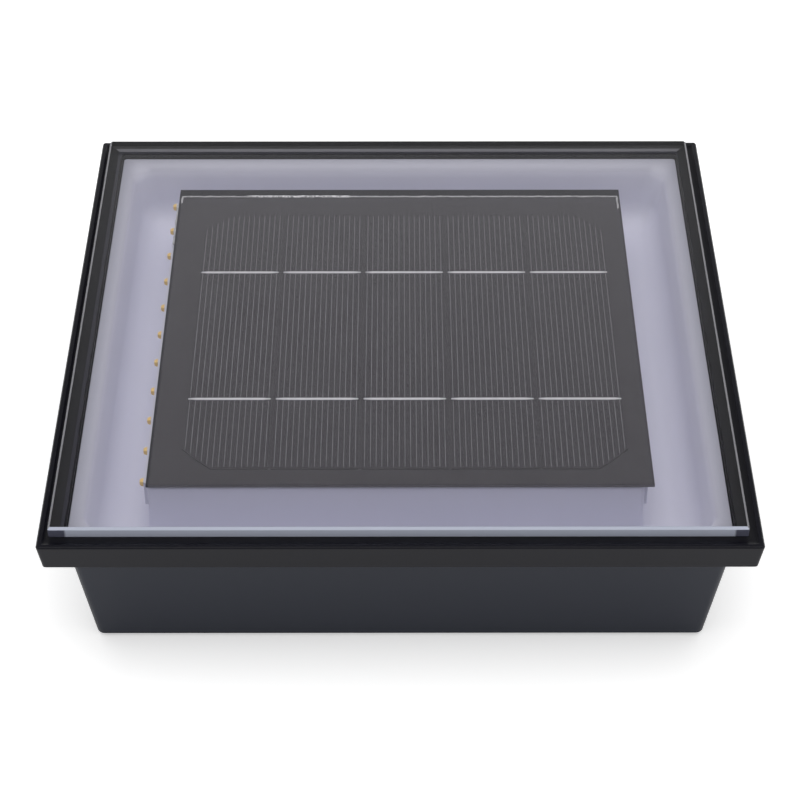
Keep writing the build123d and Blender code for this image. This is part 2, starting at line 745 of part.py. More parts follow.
# Charge controller: a flat package with four bent legs on each long side
with BuildPart() as controller_chip:
    chip_plane = Plane((chip_x, board_y, board_top + chip_stand))
    with BuildSketch(chip_plane):
        Rectangle(chip_length, chip_width)
    extrude(amount=chip_height)
    chamfer(controller_chip.faces().sort_by(Axis.Z)[-1].edges(), chip_bevel)
    leg_plane = Plane((chip_x, board_y, board_top), x_dir=(0, 1, 0), z_dir=(1, 0, 0))
    with BuildSketch(leg_plane.offset(-chip_leg_pitch * 3 / 2 - chip_leg_width / 2)) as legs:
        for sense in (-1, 1):
            with BuildLine():
                Polyline((sense * chip_width / 4, chip_stand + chip_height / 2),
                         (sense * (chip_width / 2 + chip_leg_reach / 2), chip_stand + chip_height / 2),
                         (sense * (chip_width / 2 + chip_leg_reach / 2), 0),
                         (sense * (chip_width / 2 + chip_leg_reach), 0),
                         (sense * (chip_width / 2 + chip_leg_reach), chip_leg_thick),
                         (sense * (chip_width / 2 + chip_leg_reach / 2 + chip_leg_thick), chip_leg_thick),
                         (sense * (chip_width / 2 + chip_leg_reach / 2 + chip_leg_thick),
                          chip_stand + chip_height / 2 + chip_leg_thick),
                         (sense * chip_width / 4, chip_stand + chip_height / 2 + chip_leg_thick),
                         close=True)
            make_face()
    for number in range(4):
        extrude(legs.sketch.moved(Location((number * chip_leg_pitch, 0, 0))), amount=chip_leg_width)
controller_chip.part.label = "controller_chip"
export_step(controller_chip.part, "parts/controller_chip.step")

# Coil of the boost circuit, in its square shield
with BuildPart() as boost_coil:
    with BuildSketch(Plane.XY.offset(board_top)):
        with Locations((-chip_x, board_y)):
            Rectangle(coil_side, coil_side)
    extrude(amount=coil_height)
    chamfer(boost_coil.edges().filter_by(Axis.Z), coil_bevel)
boost_coil.part.label = "boost_coil"
export_step(boost_coil.part, "parts/boost_coil.step")

# Capacitors: two upright cans
with BuildPart() as capacitors:
    with BuildSketch(Plane.XY.offset(board_top)):
        with Locations((-capacitor_x, capacitor_y), (capacitor_x, capacitor_y)):
            Circle(capacitor_radius)
    extrude(amount=capacitor_height)
capacitors.part.label = "capacitors"
export_step(capacitors.part, "parts/capacitors.step")

# Push switch: a square body under the board with its plunger in a blind bore
with BuildPart() as switch_body:
    with BuildSketch(Plane.XY.offset(switch_level)):
        with Locations((switch_x, switch_y)):
            Rectangle(switch_side, switch_side)
    extrude(amount=switch_height)
    chamfer(switch_body.edges().filter_by(Axis.Z), switch_bevel)
    with BuildSketch(Plane.XY.offset(switch_level)):
        with Locations((switch_x, switch_y)):
            Circle(plunger_radius + plunger_play)
    extrude(amount=plunger_length - plunger_reach + button_travel + hole_play, mode=Mode.SUBTRACT)
switch_body.part.label = "switch_body"
export_step(switch_body.part, "parts/switch_body.step")

with BuildPart() as switch_plunger:
    with BuildSketch(Plane.XY.offset(plunger_level)):
        with Locations((switch_x, switch_y)):
            Circle(plunger_radius)
    extrude(amount=plunger_length)
switch_plunger.part.label = "switch_plunger"
export_step(switch_plunger.part, "parts/switch_plunger.step")

# Button: a turned cap with a retaining collar, a stub under the plunger and a seal groove
with BuildPart() as switch_button:
    with BuildSketch(Plane.XZ.offset(-switch_y)):
        with Locations((switch_x, button_recess)):
            Rectangle(button_radius, bush_height - button_recess, align=(Align.MIN, Align.MIN))
        with Locations((switch_x, bush_height)):
            Rectangle(collar_radius, collar_thick, align=(Align.MIN, Align.MIN))
        with Locations((switch_x, bush_height + collar_thick)):
            Rectangle(button_stub_radius, button_stub_height, align=(Align.MIN, Align.MIN))
        with Locations((switch_x + button_radius, seal_level)):
            Rectangle(2 * seal_groove, 2 * seal_section, mode=Mode.SUBTRACT)
    revolve(axis=Axis((switch_x, switch_y, 0), (0, 0, 1)))
    chamfer(switch_button.faces().sort_by(Axis.Z)[0].edges(), button_bevel)
switch_button.part.label = "switch_button"
export_step(switch_button.part, "parts/switch_button.step")

# Seal: a square-cut ring in the button's groove
with BuildPart() as button_seal:
    seal_radius = button_radius + button_play - thread_play
    with BuildSketch(Plane.XY.offset(seal_level - seal_section)):
        with Locations((switch_x, switch_y)):
            Circle(seal_radius)
            Circle(seal_radius - 2 * seal_section, mode=Mode.SUBTRACT)
    extrude(amount=2 * seal_section)
button_seal.part.label = "button_seal"
export_step(button_seal.part, "parts/button_seal.step")

# Panel leads: down through the pedestal's slot and forward into their socket
for name, pair_x in (("panel_lead_red", socket_spacing - lead_pair / 2),
                     ("panel_lead_black", socket_spacing + lead_pair / 2)):
    panel_route = [
        (pair_x, panel_lead_y, panel_level),
        (pair_x, panel_lead_y, panel_level - 7),
        (pair_x, panel_lead_y + 4, socket_axis + 3),
        (pair_x, socket_front - 6, socket_axis),
        (pair_x, socket_front, socket_axis),
    ]
    with BuildPart() as panel_lead:
        add(lead_tube(panel_route))
    panel_lead.part.label = name
    export_step(panel_lead.part, f"parts/{name}.step")

# LED leads: from the back of each strip round to the middle socket
for name, offset_y, offset_x in (("led_leads_red", -lead_pair / 2, lead_pair / 2),
                                 ("led_leads_black", lead_pair / 2, 3 * lead_pair / 2)):
    with BuildPart() as led_leads:
        for wall_x, outward in ((pedestal_left, -1), (pedestal_right, 1)):
            lead_y = led_lead_y + offset_y
            end_x = outward * offset_x
            led_route = [
                (wall_x, lead_y, led_lead_level),
                (wall_x - outward * 14, lead_y, led_lead_level),
                (wall_x - outward * 36, lead_y - 1, led_lead_level - 3),
                (end_x + outward * 16, lead_y + 1, socket_axis + 4),
                (end_x, lead_y - 1, socket_axis),
                (end_x, socket_front, socket_axis),
            ]
            add(lead_tube(led_route))
    led_leads.part.label = name
    export_step(led_leads.part, f"parts/{name}.step")

# Battery leads: from each end contact through the bay's wall to the left socket
bay_front = bay_y + holder_width / 2 - holder_wall - 2 * lead_radius
for name, side, pair_x in (("battery_lead_black", -1, -socket_spacing - lead_pair / 2),
                           ("battery_lead_red", 1, -socket_spacing + lead_pair / 2)):
    battery_route = [
        (side * battery_lead_x, bay_front, cell_axis),
        (side * battery_lead_x, bay_front + 10, cell_axis),
        (pair_x, socket_front - 8, socket_axis),
        (pair_x, socket_front, socket_axis),
    ]
    if side > 0:
        battery_route[2:2] = [
            (side * battery_lead_x - 12, bay_front + 14, cell_axis - 1),
            (-2, bay_front + 14, cell_axis + 1),
        ]
    with BuildPart() as battery_lead:
        add(lead_tube(battery_route))
    battery_lead.part.label = name
    export_step(battery_lead.part, f"parts/{name}.step")
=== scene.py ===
import json
import math

import bmesh
import bpy
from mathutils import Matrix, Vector, noise


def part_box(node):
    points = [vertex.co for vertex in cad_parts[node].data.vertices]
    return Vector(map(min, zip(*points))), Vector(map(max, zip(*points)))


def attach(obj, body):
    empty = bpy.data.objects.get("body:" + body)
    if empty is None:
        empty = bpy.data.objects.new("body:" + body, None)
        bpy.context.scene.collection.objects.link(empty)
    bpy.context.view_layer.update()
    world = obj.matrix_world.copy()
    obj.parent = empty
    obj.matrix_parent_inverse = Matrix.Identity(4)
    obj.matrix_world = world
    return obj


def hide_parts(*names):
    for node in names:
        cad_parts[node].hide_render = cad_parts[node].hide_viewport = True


# A recessed solar light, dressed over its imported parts.
# Metres, +Z up, and the photographed front edge is at -Y.
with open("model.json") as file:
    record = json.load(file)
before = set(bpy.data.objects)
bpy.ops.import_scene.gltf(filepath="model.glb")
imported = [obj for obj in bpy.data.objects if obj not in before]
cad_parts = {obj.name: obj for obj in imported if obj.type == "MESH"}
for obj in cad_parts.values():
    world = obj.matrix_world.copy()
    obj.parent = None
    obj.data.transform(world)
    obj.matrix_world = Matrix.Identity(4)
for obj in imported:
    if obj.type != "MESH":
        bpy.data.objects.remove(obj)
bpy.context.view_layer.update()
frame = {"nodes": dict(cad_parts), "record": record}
parts = frame["nodes"]
mm = 0.001
print("frame loaded:", len(parts), "nodes")


# Small helpers for node trees

def fill(socket, value):
    # Wires another socket in, or types a plain value
    if isinstance(value, bpy.types.NodeSocket):
        socket.id_data.links.new(value, socket)
    else:
        socket.default_value = value


def put(tree, kind, inputs=None, **settings):
    # A new node with its settings, then its inputs by name or number
    node = tree.nodes.new(kind)
    for name, value in settings.items():
        setattr(node, name, value)
    for name, value in (inputs or {}).items():
        fill(node.inputs[name], value)
    return node


def calculate(tree, operation, *values):
    return put(tree, "ShaderNodeMath", dict(enumerate(values)), operation=operation).outputs[0]


def product(tree, first, second):
    return calculate(tree, "MULTIPLY", first, second)


def difference(tree, first, second):
    return calculate(tree, "SUBTRACT", first, second)


def ramp(tree, value, first, last, low=0.0, high=1.0):
    # Carries first to low and last to high, and holds there beyond them
    return put(tree, "ShaderNodeMapRange", {"Value": value, "From Min": first, "From Max": last,
                                            "To Min": low, "To Max": high}).outputs["Result"]


def axesOf(tree, vector):
    return put(tree, "ShaderNodeSeparateXYZ", {0: vector}).outputs


def vectorOf(tree, **axes):
    return put(tree, "ShaderNodeCombineXYZ", axes).outputs[0]


def mixColour(tree, factor, first, second):
    # A colour mix: each colour is a socket or a plain (red, green, blue)
    mix = put(tree, "ShaderNodeMix", {"Factor": factor}, data_type="RGBA")
    for label, value in (("A", first), ("B", second)):
        fill(mix.inputs[label], (*value, 1) if isinstance(value, tuple) else value)
    return mix.outputs["Result"]


def objectCoordinates(tree, scale=(1, 1, 1)):
    # Object coordinates, stretched where a finish has a direction
    source = put(tree, "ShaderNodeTexCoord").outputs["Object"]
    return put(tree, "ShaderNodeMapping", {"Vector": source, "Scale": scale}).outputs["Vector"]


def inMillimetres(tree, sign=1):
    return objectCoordinates(tree, (sign / mm,) * 3)


def steepFaces(tree):
    # 1 on upright faces and 0 on level ones
    normal = put(tree, "ShaderNodeNewGeometry").outputs["True Normal"]
    return calculate(tree, "LESS_THAN", calculate(tree, "ABSOLUTE", axesOf(tree, normal)["Z"]), 0.5)


socketKinds = {float: "NodeSocketFloat", int: "NodeSocketInt", tuple: "NodeSocketVector"}


def newGroup(name, kind, inputs, outputs, outputKind):
    # A node group: an input has its plain value, or the kind of its socket where it has none
    tree = bpy.data.node_groups.new(name, kind)
    for label, value in inputs.items():
        socketKind = socketKinds.get(type(value), value)
        socket = tree.interface.new_socket(label, in_out="INPUT", socket_type=socketKind)
        if socketKind != value:
            socket.default_value = value
    for label in outputs:
        tree.interface.new_socket(label, in_out="OUTPUT", socket_type=outputKind)
    return tree, put(tree, "NodeGroupInput").outputs, put(tree, "NodeGroupOutput").inputs


def newMaterial(name, inputs=None):
    # A material, its tree and its shader
    material = bpy.data.materials.new(name)
    material.use_nodes = True
    shader = material.node_tree.nodes["Principled BSDF"]
    for label, value in (inputs or {}).items():
        fill(shader.inputs[label], value)
    return material, material.node_tree, shader


def paintOf(material):
    # A finished material's tree, its base colour socket and what is wired into that
    paint = material.node_tree.nodes["Principled BSDF"].inputs["Base Color"]
    return material.node_tree, paint, paint.links[0].from_socket


# Small helpers for meshes

def boxOf(node):
    # A node's lowest and highest corners in millimetres
    low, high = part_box(node)
    return low / mm, high / mm


def middleOf(node):
    # A node's middle and half size in millimetres
    low, high = boxOf(node)
    return (low + high) / 2, (high - low) / 2


def linked(name, data):
    # An object of the mesh, camera or lamp, in the scene
    piece = bpy.data.objects.new(name, data)
    bpy.context.scene.collection.objects.link(piece)
    return piece


def smoothed(mesh, smooth=True):
    mesh.polygons.foreach_set("use_smooth", [smooth] * len(mesh.polygons))


def meshPiece(name, points, faces, material, smooth=True):
    # A piece from points in millimetres, merged and with its faces turned outwards
    mesh = bpy.data.meshes.new(name)
    mesh.from_pydata([Vector(point) * mm for point in points], [], faces)
    tidy = bmesh.new()
    tidy.from_mesh(mesh)
    bmesh.ops.remove_doubles(tidy, verts=tidy.verts, dist=1e-7)
    bmesh.ops.recalc_face_normals(tidy, faces=tidy.faces)
    tidy.to_mesh(mesh)
    tidy.free()
    smoothed(mesh, smooth)
    mesh.materials.append(material)
    return linked(name, mesh)


def sharpenBends(piece, degrees):
    # Smooth faces keep a crisp line where the bend is sharper than this
    piece.data.set_sharp_from_angle(angle=math.radians(degrees))


def squareRing(centreX, centreY, halfX, halfY, radius, level, perCorner=8, perSide=1):
    # The points of a rounded rectangle, anticlockwise from its right side's top corner
    ring = []
    corners = ((1, 1, 0), (-1, 1, 90), (-1, -1, 180), (1, -1, 270))
    for signX, signY, start in corners:
        for step in range(perCorner + 1):
            angle = math.radians(start + 90 * step / perCorner)
            ring.append(Vector((centreX + signX * (halfX - radius) + radius * math.cos(angle),
                                centreY + signY * (halfY - radius) + radius * math.sin(angle), level)))
    full = []
    for number, point in enumerate(ring):
        full.append(point)
        if (number + 1) % (perCorner + 1) == 0:
            ahead = ring[(number + 1) % len(ring)]
            full += [point.lerp(ahead, step / perSide) for step in range(1, perSide)]
    return full


def roundRing(centreX, centreY, radius, level, count):
    turns = [2 * math.pi * step / count for step in range(count)]
    return [Vector((centreX + radius * math.cos(turn), centreY + radius * math.sin(turn), level))
            for turn in turns]


def loftRings(rings, closed=False):
    # Quads between rings of equal length; an open loft is capped at both ends
    count = len(rings[0])
    points = [point for ring in rings for point in ring]
    faces = []
    for row in range(len(rings) if closed else len(rings) - 1):
        here = row * count
        after = (row + 1) % len(rings) * count
        for column in range(count):
            beside = (column + 1) % count
            faces.append((here + column, here + beside, after + beside, after + column))
    if not closed:
        faces.append(tuple(range(count))[::-1])
        faces.append(tuple(range((len(rings) - 1) * count, len(rings) * count)))
    return points, faces


def joined(solids):
    # Several (points, faces) solids as one
    points, faces = [], []
    for morePoints, moreFaces in solids:
        faces += [tuple(index + len(points) for index in face) for face in moreFaces]
        points += morePoints
    return points, faces


def frozen(piece):
    # A piece's mesh with its modifiers run
    return bpy.data.meshes.new_from_object(piece.evaluated_get(bpy.context.evaluated_depsgraph_get()))


def carved(piece, added, cut):
    # Joins one tool to the piece and cuts the other from it, then keeps the result as a plain mesh
    tools = [("UNION", added), ("DIFFERENCE", cut)]
    for operation, tool in tools:
        if tool:
            change = piece.modifiers.new(operation, "BOOLEAN")
            change.operation = operation
            change.object = tool
            change.solver = "EXACT"
    mesh = frozen(piece)
    piece.modifiers.clear()
    piece.data = mesh
    for operation, tool in tools:
        if tool:
            bpy.data.objects.remove(tool)
    smoothed(mesh)
    return piece


def realised(name, tree, values, material):
    # Runs a Geometry Nodes tree and keeps its result as a plain mesh
    host = linked(name + "Host", bpy.data.meshes.new(name + "Host"))
    modifier = host.modifiers.new(name, "NODES")
    modifier.node_group = tree
    for item in tree.interface.items_tree:
        if item.item_type == "SOCKET" and item.in_out == "INPUT" and item.name in values:
            modifier[item.identifier] = values[item.name]
    mesh = frozen(host)
    bpy.data.objects.remove(host)
    if not mesh.materials:
        mesh.materials.append(material)
    return linked(name, mesh)


def dress(node, material):
    mesh = parts[node].data
    if not mesh.materials:
        mesh.materials.append(material)
    for slot in parts[node].material_slots:
        slot.material = material


def seat(piece, body, slotName, *replaced):
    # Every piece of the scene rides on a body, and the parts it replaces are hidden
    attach(piece, body)
    if replaced:
        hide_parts(*replaced)
    return piece


# Effects that several materials share

dustLook = {"speck": (0.12, 0.04), "cloudScale": 60.0, "cloud": (0.5, 0.75), "facingUp": (0.3, 0.9),
            "spacing": 1.6, "colour": (0.55, 0.55, 0.56)}


def makeGrainGroup():
    # Fine moulded texture, with slow patches for slight changes of sheen and tone
    tree, given, end = newGroup(
        "mouldedGrain", "ShaderNodeTree",
        {"Coordinates": "NodeSocketVector", "Grain Scale": 3000.0, "Patch Scale": 40.0},
        ["Height", "Patches"], "NodeSocketFloat")
    for label, detail, output in (("Grain Scale", 3.0, "Height"), ("Patch Scale", 2.0, "Patches")):
        cloud = put(tree, "ShaderNodeTexNoise", {
            "Vector": given["Coordinates"], "Scale": given[label], "Detail": detail, "Roughness": 0.55})
        fill(end[output], cloud.outputs["Fac"])
    return tree


def makeDustGroup():
    # Pale specks that gather in places on faces which look up
    tree, given, end = newGroup(
        "settledDust", "ShaderNodeTree",
        {"Coordinates": "NodeSocketVector", "Speck Scale": 900.0, "Amount": 0.1}, ["Mask"], "NodeSocketFloat")
    specks = put(tree, "ShaderNodeTexVoronoi", {"Vector": given["Coordinates"],
                                                "Scale": given["Speck Scale"]})
    dots = ramp(tree, specks.outputs["Distance"], *dustLook["speck"])
    cloud = put(tree, "ShaderNodeTexNoise", {"Vector": given["Coordinates"], "Scale": dustLook["cloudScale"],
                                             "Detail": 4.0})
    places = ramp(tree, cloud.outputs["Fac"], *dustLook["cloud"])
    normal = put(tree, "ShaderNodeNewGeometry").outputs["Normal"]
    up = ramp(tree, axesOf(tree, normal)["Z"], *dustLook["facingUp"])
    amount = product(tree, product(tree, places, up), given["Amount"])
    fill(end["Mask"], product(tree, dots, amount))
    return tree


grainGroup = makeGrainGroup()
dustGroup = makeDustGroup()

# What a surface has where its own look doesn't say: sizes in millimetres
usualLook = {"metallic": 0.0, "specular": 0.5, "stretch": (1, 1, 1), "grainSize": 0.3, "grainDepth": 0.01,
             "patchSize": 25.0, "sheenSpread": 0.04, "dust": 0.0, "edgeRadius": 0.0, "sideColour": None,
             "zones": ()}


def surfaceMaterial(name, look):
    # A solid surface: colour with slow patches, moulded grain in the bump, and a little dust
    look = {**usualLook, "patchColour": look["colour"], **look}
    material, tree, shader = newMaterial(name, {"Metallic": look["metallic"],
                                                "Specular IOR Level": look["specular"]})
    coordinates = objectCoordinates(tree, look["stretch"])
    grain = put(tree, "ShaderNodeGroup", {
        "Coordinates": coordinates, "Grain Scale": 1 / (look["grainSize"] * mm),
        "Patch Scale": 1 / (look["patchSize"] * mm)}, node_tree=grainGroup)
    patches = grain.outputs["Patches"]
    colour = mixColour(tree, patches, look["colour"], look["patchColour"])
    if look["sideColour"]:
        # Upright faces get their own colour: the board's real edge colour, and painted light on the cells'
        # sides
        colour = mixColour(tree, steepFaces(tree), colour, look["sideColour"])
    for axis, sign, beyond, blend, tone in look["zones"]:
        # Another tone beyond a level along one axis: painted light or shade on the housing, tray and panel
        # board
        place = axesOf(tree, inMillimetres(tree, sign))[axis]
        colour = mixColour(tree, ramp(tree, place, beyond - blend, beyond + blend), colour, tone)
    dust = put(tree, "ShaderNodeGroup", {
        "Coordinates": coordinates, "Speck Scale": 1 / (dustLook["spacing"] * mm),
        "Amount": look["dust"]}, node_tree=dustGroup)
    fill(shader.inputs["Base Color"], mixColour(tree, dust.outputs["Mask"], colour, dustLook["colour"]))
    sheen, spread = look["roughness"], look["sheenSpread"]
    fill(shader.inputs["Roughness"], ramp(tree, patches, 0.0, 1.0, sheen - spread, sheen + spread))
    bump = put(tree, "ShaderNodeBump", {"Height": grain.outputs["Height"],
                                        "Distance": look["grainDepth"] * mm})
    if look["edgeRadius"]:
        soften = put(tree, "ShaderNodeBevel", {"Radius": look["edgeRadius"] * mm}, samples=4)
        fill(bump.inputs["Normal"], soften.outputs["Normal"])
    fill(shader.inputs["Normal"], bump.outputs["Normal"])
    return material


# Camera, at the place and angle that the photo's straight edges give

camera = {"location": (-0.00071, -0.58315, 0.49859), "pitch": 50.393, "turn": -0.073, "lens": 108.7,
          "sensor": 36.0, "nearest": 0.01}
cameraData = bpy.data.cameras.new("photoCamera")
cameraData.lens = camera["lens"]
cameraData.sensor_width = camera["sensor"]
cameraData.clip_start = camera["nearest"]
cameraObject = linked("photoCamera", cameraData)
cameraObject.location = camera["location"]
cameraObject.rotation_euler = (math.radians(camera["pitch"]), 0, math.radians(camera["turn"]))
bpy.context.scene.camera = cameraObject
bpy.context.scene.view_settings.view_transform = "Standard"
print("camera placed")


# Studio: white to the camera, a softer room for plain light, darker overhead in mirrors, a large lamp above

studio = {"roomLevel": 0.58, "mirrorLow": 1.0, "mirrorHigh": 0.06, "mirrorFade": (0.23, 0.68),
          "lampSize": 1.8, "lampHeight": 1.6, "lampPower": 14.0, "lampShift": 0.1,
          "floorSize": 8.0, "floorLevel": -0.2, "floorLift": 0.42, "floorTone": (0.8, 0.8, 0.8)}
black, white = (0.0, 0.0, 0.0), (1.0, 1.0, 1.0)


def buildWorld():
    world = bpy.data.worlds.new("studioRoom")
    world.use_nodes = True
    tree = world.node_tree
    direction = axesOf(tree, put(tree, "ShaderNodeTexCoord").outputs["Generated"])
    height = ramp(tree, direction["Z"], *studio["mirrorFade"], studio["mirrorLow"], studio["mirrorHigh"])
    rays = put(tree, "ShaderNodeLightPath").outputs
    mirrored = calculate(tree, "MAXIMUM", rays["Is Glossy Ray"], rays["Is Transmission Ray"])
    plain = put(tree, "ShaderNodeMix", {"Factor": mirrored, "A": studio["roomLevel"], "B": height})
    shown = put(tree, "ShaderNodeMix", {"Factor": rays["Is Camera Ray"], "A": plain.outputs["Result"],
                                        "B": 1.0})
    fill(tree.nodes["Background"].inputs["Color"], shown.outputs["Result"])
    bpy.context.scene.world = world


def buildFloor():
    # White to the camera out to its edge, with the light's soft shadow left in
    half, level = studio["floorSize"] / 2 / mm, studio["floorLevel"]
    material, tree, shader = newMaterial("paleFloor", {
        "Roughness": 0.9, "Specular IOR Level": 0.0, "Emission Strength": studio["floorLift"]})
    seen = put(tree, "ShaderNodeLightPath").outputs["Is Camera Ray"]
    fill(shader.inputs["Base Color"], mixColour(tree, seen, studio["floorTone"], white))
    fill(shader.inputs["Emission Color"], mixColour(tree, seen, black, white))
    corners = [(-half, -half, level), (half, -half, level), (half, half, level), (-half, half, level)]
    meshPiece("paleFloor", corners, [(0, 1, 2, 3)], material)


def buildLamp():
    lamp = bpy.data.lights.new("topSoftbox", "AREA")
    lamp.shape = "SQUARE"
    lamp.size = studio["lampSize"]
    lamp.energy = studio["lampPower"]
    linked("topSoftbox", lamp).location = (0, studio["lampShift"], studio["lampHeight"])


buildWorld()
buildFloor()
buildLamp()
print("studio lit")


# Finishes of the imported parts, each named after its slot in the record

finishes = {
    "housingPlastic": {"colour": (0.002, 0.002, 0.006), "patchColour": (0.003, 0.003, 0.008),
                       "roughness": 0.25, "specular": 0.4, "grainSize": 0.35, "grainDepth": 0.008,
                       "dust": 0.1, "edgeRadius": 0.4,
                       # Painted light: below the flange the tub is coloured lighter than the near-black rim,
                       # to make up for the flange's shade on it
                       "zones": [("Z", -1, -37.1, 0.1, (0.029, 0.033, 0.047))]},
    "sealantSilicone": {"colour": (0.0015, 0.0015, 0.005), "patchColour": (0.003, 0.003, 0.006),
                        "roughness": 0.45, "specular": 0.2, "grainSize": 1.5, "grainDepth": 0.02,
                        "zones": [("Z", -1, -43.3, 0.1, (0.028, 0.028, 0.04))]},
    "trayPlastic": {"colour": (0.71, 0.71, 0.81), "patchColour": (0.67, 0.675, 0.77), "roughness": 0.4,
                    "grainSize": 0.5, "grainDepth": 0.006, "dust": 0.15, "edgeRadius": 0.4,
                    # Painted shade: above the pedestal's top, on the flare next to the frame, the tray is
                    # coloured about half as light, for the frame's shade
                    "zones": [("Z", 1, 39.8, 1.6, (0.36, 0.365, 0.43))]},
    "screwSteel": {"colour": (0.6, 0.6, 0.62), "patchColour": (0.5, 0.5, 0.53), "roughness": 0.3,
                   "metallic": 1.0, "grainSize": 0.1, "grainDepth": 0.004, "patchSize": 2.0},
    "stripWhite": {"colour": (0.69, 0.69, 0.77), "patchColour": (0.66, 0.66, 0.74), "roughness": 0.45},
    "tapeFoam": {"colour": (0.72, 0.72, 0.7), "roughness": 0.9, "grainSize": 0.2, "grainDepth": 0.04},
    "panelLaminate": {"colour": (0.045, 0.042, 0.051), "patchColour": (0.049, 0.046, 0.055),
                      "roughness": 0.4, "grainSize": 0.4, "sideColour": (0.14, 0.135, 0.14),
                      # Painted shade: the bare board strips past the film's back and left edges are coloured
                      # darker, for the shadow line there
                      "zones": [("Y", 1, 71.1, 0.1, (0.013, 0.013, 0.018)),
                                ("X", -1, 71.45, 0.1, (0.016, 0.016, 0.022))]},
    "cellSilicon": {"colour": (0.036, 0.033, 0.042), "patchColour": (0.042, 0.039, 0.048),
                    "roughness": 0.4, "grainSize": 0.15, "grainDepth": 0.004, "patchSize": 12.0,
                    # Painted light: the cells' upright sides are coloured lighter, to cancel the dark line
                    # their shade draws
                    "sideColour": (0.16, 0.155, 0.165)},
    "gasketRubber": {"colour": (0.02, 0.02, 0.02), "roughness": 0.75, "grainSize": 0.2},
    "padFoam": {"colour": (0.06, 0.06, 0.065), "roughness": 0.95, "grainSize": 0.25, "grainDepth": 0.05},
    "cellCan": {"colour": (0.7, 0.7, 0.71), "patchColour": (0.62, 0.62, 0.63), "roughness": 0.3,
                "metallic": 1.0, "stretch": (1, 12, 12)},
    "sleeveFilm": {"colour": (0.03, 0.16, 0.45), "patchColour": (0.035, 0.18, 0.5), "roughness": 0.25},
    "holderPlastic": {"colour": (0.015, 0.015, 0.016), "roughness": 0.5, "grainSize": 0.3},
    "contactNickel": {"colour": (0.7, 0.67, 0.6), "roughness": 0.25, "metallic": 1.0,
                      "stretch": (1, 1, 10)},
    "boardLaminate": {"colour": (0.01, 0.14, 0.05), "patchColour": (0.012, 0.16, 0.06), "roughness": 0.3},
    "chipPlastic": {"colour": (0.02, 0.02, 0.021), "roughness": 0.55, "grainSize": 0.12},
    "coilFerrite": {"colour": (0.05, 0.05, 0.052), "roughness": 0.7, "grainSize": 0.1,
                    "grainDepth": 0.02},
    "capacitorCan": {"colour": (0.72, 0.72, 0.73), "roughness": 0.35, "metallic": 1.0,
                     "stretch": (12, 12, 1)},
    "socketNylon": {"colour": (0.8, 0.78, 0.7), "roughness": 0.45, "grainSize": 0.3},
    "buttonPlastic": {"colour": (0.03, 0.03, 0.033), "roughness": 0.45, "grainSize": 0.3,
                      "edgeRadius": 0.3},
    "leadRed": {"colour": (0.42, 0.02, 0.02), "roughness": 0.5, "grainSize": 0.4},
    "leadBlack": {"colour": (0.012, 0.012, 0.012), "roughness": 0.5, "grainSize": 0.4},
    "ribbonTin": {"colour": (0.78, 0.78, 0.8), "patchColour": (0.55, 0.55, 0.57), "roughness": 0.45,
                  "metallic": 0.3, "patchSize": 3.0, "grainSize": 0.4, "grainDepth": 0.03},
    "ledPhosphor": {"colour": (0.9, 0.6, 0.2), "patchColour": (0.92, 0.68, 0.3), "roughness": 0.35,
                    "grainSize": 0.1},
    # The fingers have no slot of their own in the record
    "fingerSilver": {"colour": (0.02, 0.02, 0.022), "patchColour": (0.45, 0.45, 0.47), "roughness": 0.5,
                     "patchSize": 0.8, "grainSize": 0.2},
}

# Glass and film: lamps and soft light pass straight through, so that what lies below is lit
pane = {"tint": (0.985, 0.98, 0.99), "ior": 1.5, "lampTint": (0.96, 0.955, 0.965)}
film = {"ior": 1.45, "roughness": 0.22}


def paneMaterial():
    material, tree, shader = newMaterial("paneGlass", {
        "Base Color": (*pane["tint"], 1), "Roughness": 0.0, "IOR": pane["ior"], "Transmission Weight": 1.0})
    rays = put(tree, "ShaderNodeLightPath").outputs
    through = put(tree, "ShaderNodeBsdfTransparent", {"Color": (*pane["lampTint"], 1)}).outputs["BSDF"]
    surface = shader.outputs["BSDF"]
    for kind in ("Is Shadow Ray", "Is Diffuse Ray"):
        surface = put(tree, "ShaderNodeMixShader", {"Fac": rays[kind], 1: surface, 2: through}).outputs[0]
    fill(tree.nodes["Material Output"].inputs["Surface"], surface)
    return material


def filmMaterial():
    # A thin shine on the film's outer faces, over what lies under it
    material, tree, shader = newMaterial("filmClear")
    tree.nodes.remove(shader)
    through = put(tree, "ShaderNodeBsdfTransparent").outputs["BSDF"]
    shine = put(tree, "ShaderNodeBsdfGlossy", {"Roughness": film["roughness"]}).outputs["BSDF"]
    fresnel = put(tree, "ShaderNodeFresnel", {"IOR": film["ior"]}).outputs["Fac"]
    front = put(tree, "ShaderNodeMixShader", {"Fac": fresnel, 1: through, 2: shine}).outputs[0]
    behind = put(tree, "ShaderNodeNewGeometry").outputs["Backfacing"]
    both = put(tree, "ShaderNodeMixShader", {"Fac": behind, 1: front, 2: through}).outputs[0]
    fill(tree.nodes["Material Output"].inputs["Surface"], both)
    return material


def finishName(slotName):
    # The slot housing_plastic has the finish housingPlastic
    first, *others = slotName.split("_")
    return first + "".join(word.title() for word in others)


materials = {name: surfaceMaterial(name, look) for name, look in finishes.items()}
materials["paneGlass"] = paneMaterial()
materials["filmClear"] = filmMaterial()
subparts = frame["record"]["subparts"]
for subpart in subparts:
    dress(subpart["node"], materials[finishName(subpart["material_slot"])])
print("parts dressed:", len(subparts))


# Housing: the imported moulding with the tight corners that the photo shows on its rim, tub and rebate

shell = {"draft": 7.8, "bend": 28.0, "levelSlack": 0.02, "sideSlack": 0.01, "arcSlack": 0.05, "corners": [
    # lowest and highest level, half width at the highest, drafted, packed radius, edge bevel, radius shown
    (37.2, 46.2, 100.0, True, 4.0, 0.8, 1.0), (0.0, 37.2, 92.667, True, 6.0, 1.2, 2.4),
    (42.5, 46.2, 98.4, False, 2.4, 0.0, 0.7), (39.5, 42.5, 92.5, False, 5.0, 0.0, 1.2)]}


